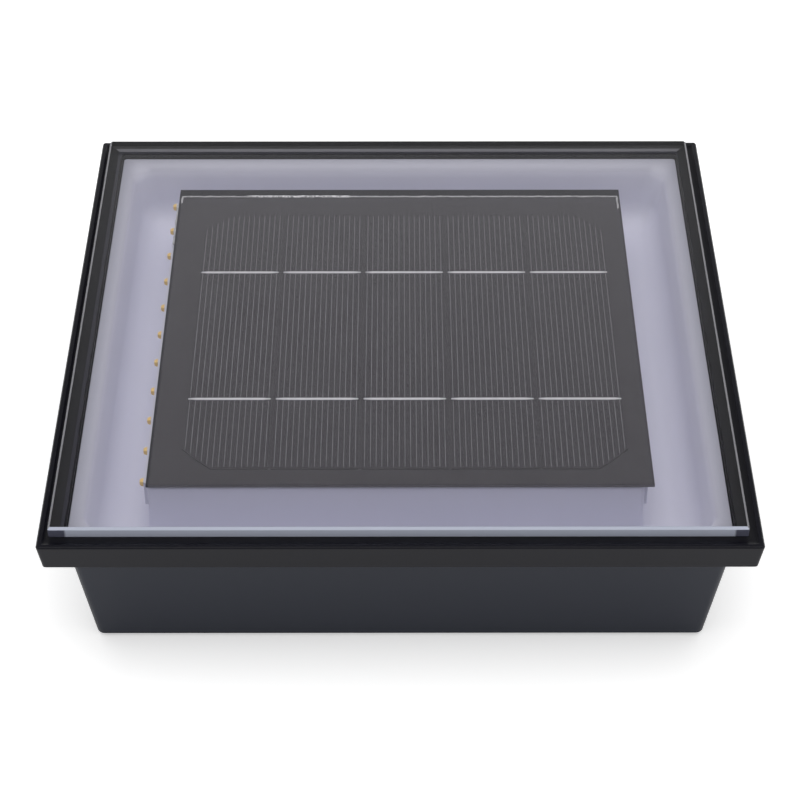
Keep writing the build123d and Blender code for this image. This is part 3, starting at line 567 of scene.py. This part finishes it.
def tightened(point):
    # Moves a point of a rounded corner onto the tighter arc that shares its two straight sides
    levelSlack, arcSlack = shell["levelSlack"], shell["arcSlack"]
    for lowest, highest, half, drafted, packed, bevel, shown in shell["corners"]:
        if not lowest - levelSlack <= point.z <= highest + levelSlack:
            continue
        slope = math.tan(math.radians(shell["draft"])) if drafted else 0
        side = half - (highest - point.z) * slope
        across, along = abs(point.x) - side + packed, abs(point.y) - side + packed
        reach = math.hypot(across, along)
        rounded = packed - bevel - arcSlack < reach < packed + arcSlack
        if min(across, along) > -shell["sideSlack"] and rounded:
            share = (reach - packed + shown) / reach
            return Vector((math.copysign(side - shown + across * share, point.x),
                           math.copysign(side - shown + along * share, point.y), point.z))
    return point


def buildHousing():
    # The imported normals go, because they would smear over the merged corners
    mesh = parts["housing"].data.copy()
    for layer in ("custom_normal", "sharp_edge", "sharp_face"):
        if layer in mesh.attributes:
            mesh.attributes.remove(mesh.attributes[layer])
    whole = bmesh.new()
    whole.from_mesh(mesh)
    bmesh.ops.remove_doubles(whole, verts=whole.verts, dist=1e-6)
    for vertex in whole.verts:
        vertex.co = tightened(vertex.co / mm) * mm
    whole.to_mesh(mesh)
    whole.free()
    smoothed(mesh)
    piece = linked("mouldedHousing", mesh)
    sharpenBends(piece, shell["bend"])
    return seat(piece, "light", "housing_plastic", "housing")


buildHousing()
print("housing moulded")


# Pane and film: the glass with crisp corners and a bevel above and below, the laminate as one clear sheet

sheets = {"paneCorner": 0.5, "paneBevel": 0.65, "footWide": 2.9, "footHigh": 1.1, "innerCorner": 0.2,
          "filmInset": 0.7, "filmCorner": 0.6, "filmLift": 0.31, "filmEdge": 0.06, "bend": 30}


def paneOutline():
    # The pane's middle, half size and levels in millimetres
    low, high = boxOf("top_glass")
    middle, size = middleOf("top_glass")
    return middle.x, middle.y, size.x, size.y, low.z, high.z


def buildPane():
    x, y, halfX, halfY, bottom, top = paneOutline()
    corner, bevel = sheets["paneCorner"], sheets["paneBevel"]
    inner, foot = sheets["innerCorner"], sheets["footWide"]
    rings = [squareRing(x, y, halfX - foot, halfY - foot, inner, bottom, 3),
             squareRing(x, y, halfX, halfY, corner, bottom + sheets["footHigh"], 3),
             squareRing(x, y, halfX, halfY, corner, top - bevel, 3),
             squareRing(x, y, halfX - bevel, halfY - bevel, inner, top, 3)]
    piece = meshPiece("clearPane", *loftRings(rings), materials["paneGlass"], smooth=False)
    return seat(piece, "light", "pane_glass", "top_glass")


def buildFilm():
    low, high = boxOf("panel_film")
    middle, size = middleOf("panel_film")
    edge = sheets["filmEdge"]
    rings = [squareRing(middle.x, middle.y, size.x - sheets["filmInset"] - trim, size.y - trim,
                        sheets["filmCorner"] - trim, level)
             for trim, level in ((0, low.z + sheets["filmLift"]), (0, high.z - edge), (edge, high.z))]
    piece = meshPiece("panelLaminate", *loftRings(rings), materials["filmClear"])
    sharpenBends(piece, sheets["bend"])
    return seat(piece, "light", "film_clear", "panel_film")


buildPane()
buildFilm()
print("pane and film laid")


# Reflector tray: one smooth moulding, from the pedestal's top down, across the trough and up to the flange

tray = {"wall": 1.8, "draft": 7.8, "topEdge": 0.6, "pedestalDepth": 143.2, "pedestalCorner": 1.5,
        "straightDrop": 9, "footDraft": 0.25, "footRadius": 4.0, "basinHalf": 89.98, "outerCorner": 4.5,
        "innerCorner": 6.5, "cornerEase": 0.4, "basinRadius": 9.0, "lowerEdge": 0.8, "hollowCorner": 0.4,
        "flare": [(36.4, 87.85, 6.5), (38.4, 88.3, 6.5), (39.5, 88.9, 6.2), (40.2, 89.7, 4.8),
                  (40.7, 90.6, 3.4), (41.05, 91.4, 2.2), (41.22, 92.05, 1.2)],
        "flangeCorner": 1.0, "flangeGap": 0.02, "screwInset": 13.0, "bossRadius": 6.0, "bossTop": 0.9,
        "wellRadius": 4.2, "wellDepth": 3.0, "holeRadius": 1.7, "holeDepth": 4,
        "panelWindow": (20.0, 8.0), "panelCut": (4, 1), "stripWindow": (14.0, 33.0), "stripCut": (3, 1),
        "windowHalf": (2.45, 1.25), "windowCorner": 0.5, "around": 32, "bend": 32}


def trayRings(low, high, centreX, centreY, halfX, halfY, top):
    wall, slope = tray["wall"], math.tan(math.radians(tray["draft"]))
    seatLevel, floorLevel = high.z - wall, low.z + wall
    innerTop = tray["basinHalf"] - wall + wall * slope
    rings = []

    def aroundPedestal(grow, level):
        corner = max(tray["pedestalCorner"] + grow, tray["hollowCorner"])
        rings.append(squareRing(centreX, centreY, halfX + grow, halfY + grow, corner, level))

    def aroundBasin(half, level, corner):
        rings.append(squareRing(0, 0, half, half, corner, level))

    for turn in range(0, 91, 15):
        angle = math.radians(turn)
        aroundPedestal(tray["topEdge"] * (math.sin(angle) - 1), top + tray["topEdge"] * (math.cos(angle) - 1))
    aroundPedestal(0, top - tray["straightDrop"])
    for turn in range(0, 91, 10):
        angle = math.radians(turn)
        aroundPedestal(tray["footDraft"] + tray["footRadius"] * (1 - math.cos(angle)),
                       floorLevel + tray["footRadius"] * (1 - math.sin(angle)))
    radius, lean = tray["basinRadius"], math.radians(90 - tray["draft"])
    endLevel = floorLevel + radius * (1 - math.cos(lean))
    centre = innerTop - (high.z - endLevel) * slope - radius * math.sin(lean)
    for step in range(11):
        angle = lean * step / 10
        aroundBasin(centre + radius * math.sin(angle), floorLevel + radius * (1 - math.cos(angle)),
                    tray["innerCorner"] - radius * (1 - math.sin(angle)) * tray["cornerEase"])
    for level, half, corner in tray["flare"]:
        aroundBasin(half, level, corner)
    aroundBasin(high.x, high.z - tray["flangeGap"], tray["flangeCorner"])
    aroundBasin(high.x, seatLevel, tray["flangeCorner"])
    aroundBasin(tray["basinHalf"], seatLevel, tray["outerCorner"])
    baseHalf, edge = tray["basinHalf"] - (seatLevel - low.z) * slope, tray["lowerEdge"]
    aroundBasin(baseHalf, low.z + edge, tray["outerCorner"])
    aroundBasin(baseHalf - edge, low.z, tray["outerCorner"] - edge)
    for level in (low.z, top - wall):
        rings.append(squareRing(centreX, centreY, halfX - wall, halfY - wall, tray["hollowCorner"], level))
    return rings


def trayTools(centreX, centreY, halfX, halfY, top):
    # The screw wells' bosses, and all that is cut: wells, screw holes and slots for the leads
    bosses, cuts = [], []
    wellLevel = top - tray["wellDepth"]
    for signX in (-1, 1):
        for signY in (-1, 1):
            x = centreX + signX * (halfX - tray["screwInset"])
            y = centreY + signY * (halfY - tray["screwInset"])
            bosses.append(loftRings([roundRing(x, y, tray["bossRadius"], level, tray["around"])
                                     for level in (wellLevel - tray["wall"], top - tray["bossTop"])]))
            cuts.append(loftRings([roundRing(x, y, radius, level, tray["around"]) for radius, level in (
                (tray["holeRadius"], wellLevel - tray["holeDepth"]), (tray["holeRadius"], wellLevel),
                (tray["wellRadius"], wellLevel), (tray["wellRadius"], top + 1))]))
    slot = (*tray["windowHalf"], tray["windowCorner"])
    below, above = tray["panelCut"]
    cuts.append(loftRings([squareRing(*tray["panelWindow"], *slot, level, 4)
                           for level in (top - below, top + above)]))
    inside, outside = tray["stripCut"]
    for side in (-1, 1):
        cuts.append(loftRings([[Vector((centreX + side * depth, point.x, point.y))
                                for point in squareRing(*tray["stripWindow"], *slot, 0, 4)]
                               for depth in (halfX - inside, halfX + outside)]))
    return joined(bosses), joined(cuts)


def buildTray():
    low, high = boxOf("reflector_tray")
    leftLow, leftHigh = boxOf("led_strip_left")
    rightLow = boxOf("led_strip_right")[0]
    top = boxOf("panel_tape")[0].z
    centreX, halfX = (leftHigh.x + rightLow.x) / 2, (rightLow.x - leftHigh.x) / 2
    pedestal = (centreX, (leftLow.y + leftHigh.y) / 2, halfX, tray["pedestalDepth"] / 2, top)
    material = materials["trayPlastic"]
    piece = meshPiece("trayMoulding", *loftRings(trayRings(low, high, *pedestal)), material)
    bosses, cuts = trayTools(*pedestal)
    carved(piece, meshPiece("trayBosses", *bosses, material), meshPiece("trayCuts", *cuts, material))
    sharpenBends(piece, tray["bend"])
    return seat(piece, "light", "tray_plastic", "reflector_tray")


buildTray()
print("tray moulded")


# Sealant round the pane: a hand-laid bead whose inner edge wanders under the glass

sealant = {"corner": 0.7, "glassClimb": 0.15, "lipClimb": 0.25, "sag": 0.15, "glassGap": 0.985,
           "bedReach": 5.5, "bedCorner": 1.2, "bedThick": 0.5, "bedGap": 0.02,
           "wander": 0.25, "wanderShift": 0.15, "wanderLength": 9.0, "perSide": 60, "bend": 50}


def buildSealant():
    low, high = boxOf("glass_sealant")
    paneX, paneY, halfX, halfY = paneOutline()[:4]
    bed = high.x - sealant["bedReach"]
    lipSide, glassSide, bedEdge = (
        squareRing(x, y, sizeX, sizeY, corner, 0, perSide=sealant["perSide"])
        for x, y, sizeX, sizeY, corner in ((0, 0, high.x, high.x, sealant["corner"]),
                                           (paneX, paneY, halfX, halfY, sheets["paneCorner"]),
                                           (0, 0, bed, bed, sealant["bedCorner"])))

    def between(share, level):
        return [Vector((*first.lerp(second, share).xy, level)) for first, second in zip(lipSide, glassSide)]

    def wandering(level):
        ring = []
        for point in bedEdge:
            shift = sealant["wander"] * noise.noise(point / sealant["wanderLength"])
            ring.append(Vector((*(point * (1 + (shift + sealant["wanderShift"]) / bed)).xy, level)))
        return ring

    bedTop = low.z + sealant["bedThick"] - sealant["bedGap"]
    rings = [between(0, low.z), between(0, high.z + sealant["lipClimb"]), between(0.25, high.z),
             between(0.5, high.z - sealant["sag"]), between(0.8, high.z),
             between(sealant["glassGap"], high.z + sealant["glassClimb"]),
             between(sealant["glassGap"], bedTop), wandering(bedTop), wandering(low.z)]
    bead = meshPiece("sealantBead", *loftRings(rings, closed=True), materials["sealantSilicone"])
    sharpenBends(bead, sealant["bend"])
    return seat(bead, "light", "sealant_silicone", "glass_sealant")


buildSealant()
print("sealant laid")


# Ground edge of the pane: a frosted skin just inside its upright sides and its bevels, coloured with painted
# light, shade and glints

# Colours: frost with painted tray light, painted shade near the corners, a painted highlight on the side
# bevels and a painted glint on the back foot
ground = {"footLineWide": 1.3, "outer": 0.03, "inner": 0.06, "roughness": 0.45, "front": -0.3,
          "frost": (0.56, 0.6, 0.71), "sideBevel": (0.13, 0.13, 0.15), "dark": (0.1, 0.105, 0.15),
          "inside": (0.006, 0.006, 0.01), "footLine": (0.13, 0.13, 0.15), "paleHalf": 92.2, "paleFade": 0.3,
          "slant": 1.4, "slantDrop": 0.4, "bevelOverlap": 0.01, "leastCorner": 0.1}


def groundMaterial():
    # The frost is coloured with the pale tray's light behind it, painted light, and darkens near the pane's
    # corners, painted shade where the dark housing lies behind; the side bevels carry a painted highlight and
    # the inner back foot a painted glint; inside it is black
    material = surfaceMaterial("groundFrost", {"colour": ground["frost"], "roughness": ground["roughness"],
                                               "grainSize": 0.2, "grainDepth": 0.02})
    tree, paint, frost = paintOf(material)
    coordinates = inMillimetres(tree)
    place = axesOf(tree, coordinates)
    normal = put(tree, "ShaderNodeNewGeometry").outputs["True Normal"]
    pale, fade = ground["paleHalf"], ground["paleFade"]
    nearCorner = ramp(tree, calculate(tree, "ABSOLUTE", place["X"]), pale - fade, pale + fade)
    # Painted shade near the left and right ends of the upright faces
    upright = mixColour(tree, nearCorner, frost, ground["dark"])
    front = calculate(tree, "LESS_THAN", axesOf(tree, normal)["Y"], ground["front"])
    # A painted highlight on the side bevels; the front bevel gets the painted frost light
    bevel = mixColour(tree, front, ground["sideBevel"], ground["frost"])
    outside = mixColour(tree, steepFaces(tree), bevel, upright)
    _, y, _, halfY, bottom, _ = paneOutline()
    low = calculate(tree, "LESS_THAN", place["Z"], bottom + sheets["footHigh"])
    near = calculate(tree, "LESS_THAN", place["Y"], y + halfY - sheets["footWide"] + ground["footLineWide"])
    # A painted glint along the inner face of the pane's back foot
    footLine = product(tree, product(tree, low, near), front)
    inside = mixColour(tree, footLine, ground["inside"], ground["footLine"])
    flat = put(tree, "ShaderNodeVectorMath", {0: coordinates, 1: (1.0, 1.0, 0.0)}, operation="MULTIPLY")
    outwards = put(tree, "ShaderNodeVectorMath", {0: flat.outputs["Vector"], 1: normal},
                   operation="DOT_PRODUCT")
    inner = calculate(tree, "LESS_THAN", outwards.outputs["Value"], 0.0)
    fill(paint, mixColour(tree, inner, outside, inside))
    return material


def buildGroundEdge():
    x, y, halfX, halfY, bottom, top = paneOutline()
    bevel, footWide, footHigh = sheets["paneBevel"], sheets["footWide"], sheets["footHigh"]
    rings = []
    for gap, order in ((ground["outer"], 1), (ground["inner"], -1)):
        slant, drop = gap * ground["slant"], gap * ground["slantDrop"]
        steps = [(slant + footWide, bottom + gap), (gap, bottom + footHigh + drop),
                 (gap, top - bevel - drop), (slant + bevel - ground["bevelOverlap"], top - gap)]
        for trim, level in steps[::order]:
            corner = max(sheets["paneCorner"] - trim, ground["leastCorner"])
            rings.append(squareRing(x, y, halfX - trim, halfY - trim, corner, level, 3))
    edge = meshPiece("groundEdge", *loftRings(rings, closed=True), groundMaterial())
    sharpenBends(edge, sheets["bend"])
    return seat(edge, "light", "pane_glass")


buildGroundEdge()
print("pane edge ground")


# Copies on a grid: what the fingers' tree and the tree of patterns have in common

def newCopier(name, inputs):
    inputs = {**inputs, "Place": (0.0, 0.0, 0.0), "Finish": "NodeSocketMaterial"}
    tree, given, end = newGroup(name, "GeometryNodeTree", inputs, ["Geometry"], "NodeSocketGeometry")
    tree.is_modifier = True
    return tree, given, end


def gridPoints(tree, given, inner, outer):
    # A point for each copy, and its steps from the grid's middle in the inner and the outer count
    line = put(tree, "GeometryNodeMeshLine", {"Count": product(tree, given[outer], given[inner])})
    index = put(tree, "GeometryNodeInputIndex").outputs[0]
    shifted = calculate(tree, "ADD", index, 0.5)
    row = calculate(tree, "FLOOR", calculate(tree, "DIVIDE", shifted, given[inner]))
    column = difference(tree, index, product(tree, row, given[inner]))
    steps = [difference(tree, step, product(tree, difference(tree, given[count], 1), 0.5))
             for step, count in ((column, inner), (row, outer))]
    return line.outputs["Mesh"], *steps


def layCopies(tree, given, end, points, spot, instance, scale=1.0, **placing):
    # One instance on each point, as real geometry, moved to its place, with its finish
    place = put(tree, "GeometryNodeSetPosition", {"Geometry": points, "Position": spot})
    copies = put(tree, "GeometryNodeInstanceOnPoints", {"Points": place.outputs["Geometry"],
                                                        "Instance": instance, **placing})
    solid = put(tree, "GeometryNodeRealizeInstances", {"Geometry": copies.outputs["Instances"]})
    shift = put(tree, "GeometryNodeTransform", {"Geometry": solid.outputs["Geometry"],
                                                "Translation": given["Place"], "Scale": (scale,) * 3})
    if "Turn" in given:
        turn = put(tree, "FunctionNodeEulerToRotation", {0: given["Turn"]})
        fill(shift.inputs["Rotation"], turn.outputs[0])
    finish = put(tree, "GeometryNodeSetMaterial", {"Geometry": shift.outputs["Geometry"],
                                                   "Material": given["Finish"]})
    fill(end["Geometry"], finish.outputs["Geometry"])


# Fingers: fine silver lines down each cell strip, cut short by the wafer's arc corners

fingers = {"Strips": 5, "Per Strip": 15, "Finger Pitch": 1.66, "Finger Width": 0.16, "Finger Height": 0.03,
           "Strip Width": 25.0, "Strip Pitch": 25.9, "Wafer Half": 62.5, "Wafer Radius": 82.5, "Inset": 1.0}


def fingerTree():
    tree, given, end = newCopier("cellFingers", fingers)
    points, finger, strip = gridPoints(tree, given, "Per Strip", "Strips")
    offset = product(tree, given["Finger Pitch"], finger)
    x = calculate(tree, "MULTIPLY_ADD", strip, given["Strip Pitch"], offset)
    waferX = calculate(tree, "MULTIPLY_ADD", strip, given["Strip Width"], offset)
    squared = calculate(tree, "POWER", given["Wafer Radius"], 2.0)
    arc = calculate(tree, "SQRT", difference(tree, squared, product(tree, waferX, waferX)))
    half = difference(tree, calculate(tree, "MINIMUM", arc, given["Wafer Half"]), given["Inset"])
    size = vectorOf(tree, X=given["Finger Width"], Y=product(tree, half, 2.0), Z=given["Finger Height"])
    cube = put(tree, "GeometryNodeMeshCube").outputs["Mesh"]
    layCopies(tree, given, end, points, vectorOf(tree, X=x), cube, mm, Scale=size)
    return tree


def buildFingers():
    low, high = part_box("solar_cells")
    material = materials["fingerSilver"]
    level = high.z + fingers["Finger Height"] / 2 * mm
    values = {**fingers, "Place": ((low.x + high.x) / 2, (low.y + high.y) / 2, level), "Finish": material}
    return seat(realised("cellFingers", fingerTree(), values, material), "light", "ribbon_tin")


buildFingers()
print("fingers drawn")


# A grid of copies of one pattern: ribbons, LEDs and screws are all laid with this tree

def gridTree():
    tree, given, end = newCopier("gridOfCopies", {
        "Pattern": "NodeSocketObject", "Columns": 2, "Rows": 2, "Column Step": 0.01, "Row Step": 0.01,
        "Twist": 0.0, "Seed": 1, "Turn": (0.0, 0.0, 0.0)})
    points, column, row = gridPoints(tree, given, "Columns", "Rows")
    spot = vectorOf(tree, X=product(tree, column, given["Column Step"]),
                    Y=product(tree, row, given["Row Step"]))
    twist = put(tree, "FunctionNodeRandomValue", {
        2: product(tree, given["Twist"], -1.0), 3: given["Twist"], "Seed": given["Seed"]}, data_type="FLOAT")
    turned = put(tree, "FunctionNodeEulerToRotation", {0: vectorOf(tree, Z=twist.outputs[1])})
    pattern = put(tree, "GeometryNodeObjectInfo", {"Object": given["Pattern"]}).outputs["Geometry"]
    layCopies(tree, given, end, points, spot, pattern, Rotation=turned.outputs[0])
    return tree


gridOfCopies = gridTree()


def layGrid(name, pattern, columns, rows, steps, place, finish, turn=(0.0, 0.0, 0.0), twist=0.0, seed=1):
    # Lays copies of the pattern, sizes in millimetres, then drops the pattern itself
    values = {"Pattern": pattern, "Columns": columns, "Rows": rows, "Column Step": steps[0] * mm,
              "Row Step": steps[1] * mm, "Twist": twist, "Seed": seed, "Turn": turn,
              "Place": tuple(Vector(place) * mm), "Finish": finish}
    piece = realised(name, gridOfCopies, values, finish)
    bpy.data.objects.remove(pattern)
    return piece


# Ribbons: tinned bars with a rounded back that thin out towards the ends of each strip

ribbon = {"columns": 5, "pitch": 62.4, "length": 24.4, "width": 1.0, "endWidth": 0.55, "taper": 2.2,
          "endHeight": 0.6}


def buildRibbons():
    low, high = boxOf("cell_ribbons")
    height = high.z - low.z
    rings = []
    for along, share in ((-0.5, 0), (-0.5, 1), (0.5, 1), (0.5, 0)):
        half = (ribbon["endWidth"] + (ribbon["width"] - ribbon["endWidth"]) * share) / 2
        x = along * (ribbon["length"] - 2 * ribbon["taper"] * share)
        rise = ribbon["endHeight"] + (1 - ribbon["endHeight"]) * share
        rings.append([Vector((x, half * math.cos(turn), height * math.sin(turn) * rise))
                      for turn in [math.pi * step / 8 for step in range(9)]])
    material = materials["ribbonTin"]
    pattern = meshPiece("ribbonPattern", *loftRings(rings), material)
    columnStep = (high.x - low.x - ribbon["length"]) / (ribbon["columns"] - 1)
    middle = (low + high) / 2
    piece = layGrid("solderedRibbons", pattern, ribbon["columns"], 2, (columnStep, ribbon["pitch"]),
                    (middle.x, middle.y, low.z), material)
    return seat(piece, "light", "ribbon_tin", "cell_ribbons")


buildRibbons()
print("ribbons soldered")


# LEDs: a white frame and a domed amber lens, in a row on each side wall of the pedestal

led = {"count": 11, "shift": 1.1, "frameLength": 2.0, "frameHeight": 2.0, "frameDepth": 0.25,
       "frameCorner": 0.15, "frameEdge": 0.06, "lensInset": 0.08, "lensSink": 0.05, "lensCorner": 0.3,
       "domeInset": 0.45, "domeSteps": 6, "reach": 1.4}


def ledRings():
    # The rings of the frame and of its lens
    halfX, halfY, depth = led["frameLength"] / 2, led["frameHeight"] / 2, led["frameDepth"]
    sink, edge, steps = led["lensSink"], led["frameEdge"], led["domeSteps"]
    frameRings = [squareRing(0, 0, halfX - trim, halfY - trim, led["frameCorner"], level, 2)
                  for trim, level in ((0, 0), (0, depth - edge), (edge, depth))]
    lensRings = []
    for step in range(steps):
        turnUp = math.radians(90) * step / steps
        trim = led["lensInset"] + (1 - math.cos(turnUp)) * led["domeInset"]
        level = depth - sink + (led["reach"] - depth + sink) * math.sin(turnUp)
        lensRings.append(squareRing(0, 0, halfX - trim, halfY - trim, led["lensCorner"], level, 4))
    return frameRings, lensRings


def buildLeds():
    frameRings, lensRings = ledRings()
    for side, turnZ in (("left", -90.0), ("right", 90.0)):
        low, high = boxOf("leds_" + side)
        pitch = (high.y - low.y - led["frameLength"]) / (led["count"] - 1)
        wallX = high.x if side == "left" else low.x
        place = (wallX, (low.y + high.y) / 2 + led["shift"], (low.z + high.z) / 2)
        turn = (math.radians(90), 0.0, math.radians(turnZ))
        for name, rings, slotName, replaced in (("ledFrames", frameRings, "strip_white", []),
                                                ("ledLenses", lensRings, "led_phosphor", ["leds_" + side])):
            material = materials[finishName(slotName)]
            pattern = meshPiece(name + "Pattern", *loftRings(rings), material)
            piece = layGrid(name + side.title(), pattern, led["count"], 1, (pitch, 1.0), place,
                            material, turn)
            seat(piece, "light", slotName, *replaced)


buildLeds()
print("LEDs set in their rows")


# Cross-recess screws: pan heads inside, countersunk heads on the battery cover

screwKinds = {
    "tray_screws": {"head": 2.8, "headHeight": 2.2, "shank": 1.45, "countersunk": False, "seed": 3},
    "board_screws": {"head": 2.3, "headHeight": 1.6, "shank": 1.2, "countersunk": False, "seed": 5},
    "cover_screws": {"head": 2.85, "headHeight": 1.4, "shank": 1.45, "countersunk": True, "seed": 8},
}
# Shares of the head's radius and height, then millimetres along the thread
screw = {"pan": [(0.55, 0), (0.82, -0.12), (0.96, -0.4), (1, -0.7), (1, -1)], "sunkTop": 0.94,
         "sunkEdge": 0.12, "crossTop": (0.62, 0.17), "crossEnd": (0.36, 0.1), "crossDepth": 0.7,
         "crossRise": 0.2, "root": 0.84, "start": 0.6, "pitch": 0.7, "rise": 0.25, "end": 1.4,
         "tip": 0.8, "tipRadius": 0.2, "twist": 0.8, "around": 24, "bend": 35}


def screwPattern(name, kind, length, material):
    # Head up, with its top at level 0 and its tip below
    head, deep, shank = kind["head"], kind["headHeight"], kind["shank"]
    if kind["countersunk"]:
        profile = [(head * screw["sunkTop"], 0), (head, -screw["sunkEdge"]), (shank, -deep)]
    else:
        profile = [(head * across, down * deep) for across, down in screw["pan"]] + [(shank, -deep)]
    root, rise, level = shank * screw["root"], screw["rise"], -deep - screw["start"]
    while level > -length + screw["end"]:
        profile += [(root, level), (shank, level - rise), (root, level - 2 * rise)]
        level -= screw["pitch"]
    profile += [(root, -length + screw["tip"]), (screw["tipRadius"], -length)]
    piece = meshPiece(name, *loftRings([roundRing(0, 0, radius, z, screw["around"])
                                         for radius, z in profile]), material)
    rings = []
    for (long, wide), z in ((screw["crossTop"], screw["crossRise"]),
                            (screw["crossEnd"], -screw["crossDepth"] * deep)):
        corners = [(long * head, wide * head), (wide * head, wide * head), (wide * head, long * head)]
        ring = []
        for quarter in range(4):
            turn = quarter * math.pi / 2
            ring += [Vector((x * math.cos(turn) - y * math.sin(turn),
                             x * math.sin(turn) + y * math.cos(turn), z)) for x, y in corners]
        rings.append(ring)
    carved(piece, None, meshPiece(name + "Recess", *loftRings(rings), material))
    sharpenBends(piece, screw["bend"])
    return piece


def buildScrews():
    material = materials["screwSteel"]
    for node, kind in screwKinds.items():
        low, high = boxOf(node)
        pattern = screwPattern(node + "Pattern", kind, high.z - low.z, material)
        steps = (high.x - low.x - 2 * kind["head"], high.y - low.y - 2 * kind["head"])
        below = kind["countersunk"]
        place = ((low.x + high.x) / 2, (low.y + high.y) / 2, low.z if below else high.z)
        piece = layGrid("crossHead_" + node, pattern, 2, 2, steps, place, material,
                        (math.pi if below else 0.0, 0.0, 0.0), screw["twist"], kind["seed"])
        seat(piece, "light", "screw_steel", node)


buildScrews()
print("screws driven")


# Resin that has crept out along the film's back edge, with white flecks of colour as painted glints, and glue
# at the board's left edge

resin = {"width": 0.9, "height": 0.4, "wander": 0.3, "step": 0.9, "leftTail": 4.0, "rightTail": 7.0,
         "pool": (-50.0, -17.0), "poolWidth": 1.5}
glue = {"width": 1.1, "height": 0.5, "wander": 0.5, "step": 0.9, "from": 68.0, "to": 45.0,
        "pool": (-80.0, 0.0), "poolWidth": 1.2, "gap": 0.1}
bead = {"swell": 0.75, "swellSpread": 0.3, "swellLength": 1.3, "swellRow": 9.0,
        "wanderLength": 2.6, "wanderRow": 4.0, "end": 0.15}
# Painted glints: white flecks of colour, not reflections
paintedGlint = {"scale": 1.6, "range": (0.46, 0.54), "colour": (0.85, 0.85, 0.86), "middle": -32.0,
         "fade": (18.0, 14.0), "strength": (0.25, 1.0)}


def resinMaterial():
    # Its painted glints are strongest round the pool of resin
    # The clear resin is coloured pale grey with paler patches, a painted highlight along its edge; the glue's
    # whitish colour is its own
    material = surfaceMaterial("edgeResin", {
        "colour": (0.22, 0.22, 0.23), "patchColour": (0.6, 0.6, 0.61), "roughness": 0.15, "patchSize": 2.5,
        "grainSize": 0.5, "grainDepth": 0.05})
    tree, paint, colour = paintOf(material)
    coordinates = inMillimetres(tree)
    cloud = put(tree, "ShaderNodeTexNoise", {"Vector": coordinates, "Scale": paintedGlint["scale"], "Detail": 2.0})
    paintedGlintSpots = ramp(tree, cloud.outputs["Fac"], *paintedGlint["range"])
    along = calculate(tree, "ADD", axesOf(tree, coordinates)["X"], -paintedGlint["middle"])
    strong = ramp(tree, calculate(tree, "ABSOLUTE", along), *paintedGlint["fade"], *paintedGlint["strength"])
    fill(paint, mixColour(tree, product(tree, paintedGlintSpots, strong), colour, paintedGlint["colour"]))
    return material


def crept(name, kind, corners, level, material):
    # A thin uneven bead along a route of corner points
    path = []
    for first, second in zip(corners, corners[1:]):
        count = max(2, round((second - first).length / kind["step"]))
        path += [first.lerp(second, step / count) for step in range(count)]
    path.append(corners[-1])
    rings = []
    for number, point in enumerate(path):
        ahead, behind = path[min(number + 1, len(path) - 1)], path[max(number - 1, 0)]
        along = (ahead - behind).normalized()
        across = Vector((-along.y, along.x, 0))
        swell = bead["swell"] + bead["swellSpread"] * noise.noise(
            Vector((number / bead["swellLength"], bead["swellRow"], 0.0)))
        if number in (0, len(path) - 1):
            swell = bead["end"]
        if kind["pool"][0] < point.x < kind["pool"][1]:
            swell *= kind["poolWidth"]
        centre = point + across * kind["wander"] * noise.noise(
            Vector((number / bead["wanderLength"], bead["wanderRow"], 0.0)))
        rings.append([centre + across * kind["width"] / 2 * swell * math.cos(turn)
                      + Vector((0, 0, level + kind["height"] * swell * math.sin(turn)))
                      for turn in [math.pi * part / 6 for part in range(7)]])
    return meshPiece(name, *loftRings(rings), material)


def buildResin():
    material = resinMaterial()
    low, high = boxOf("panel_film")
    left, right = low.x + sheets["filmInset"], high.x - sheets["filmInset"]
    route = [Vector((left, high.y - resin["leftTail"], 0)), Vector((left, high.y, 0)),
             Vector((right, high.y, 0)), Vector((right, high.y - resin["rightTail"], 0))]
    seat(crept("edgeResin", resin, route, low.z, material), "light", "film_clear")
    corner = boxOf("panel_board")[0]
    route = [Vector((corner.x - glue["gap"], glue[end], 0)) for end in ("from", "to")]
    seat(crept("edgeGlue", glue, route, corner.z + glue["gap"], material), "light", "film_clear")


buildResin()
print("resin laid")
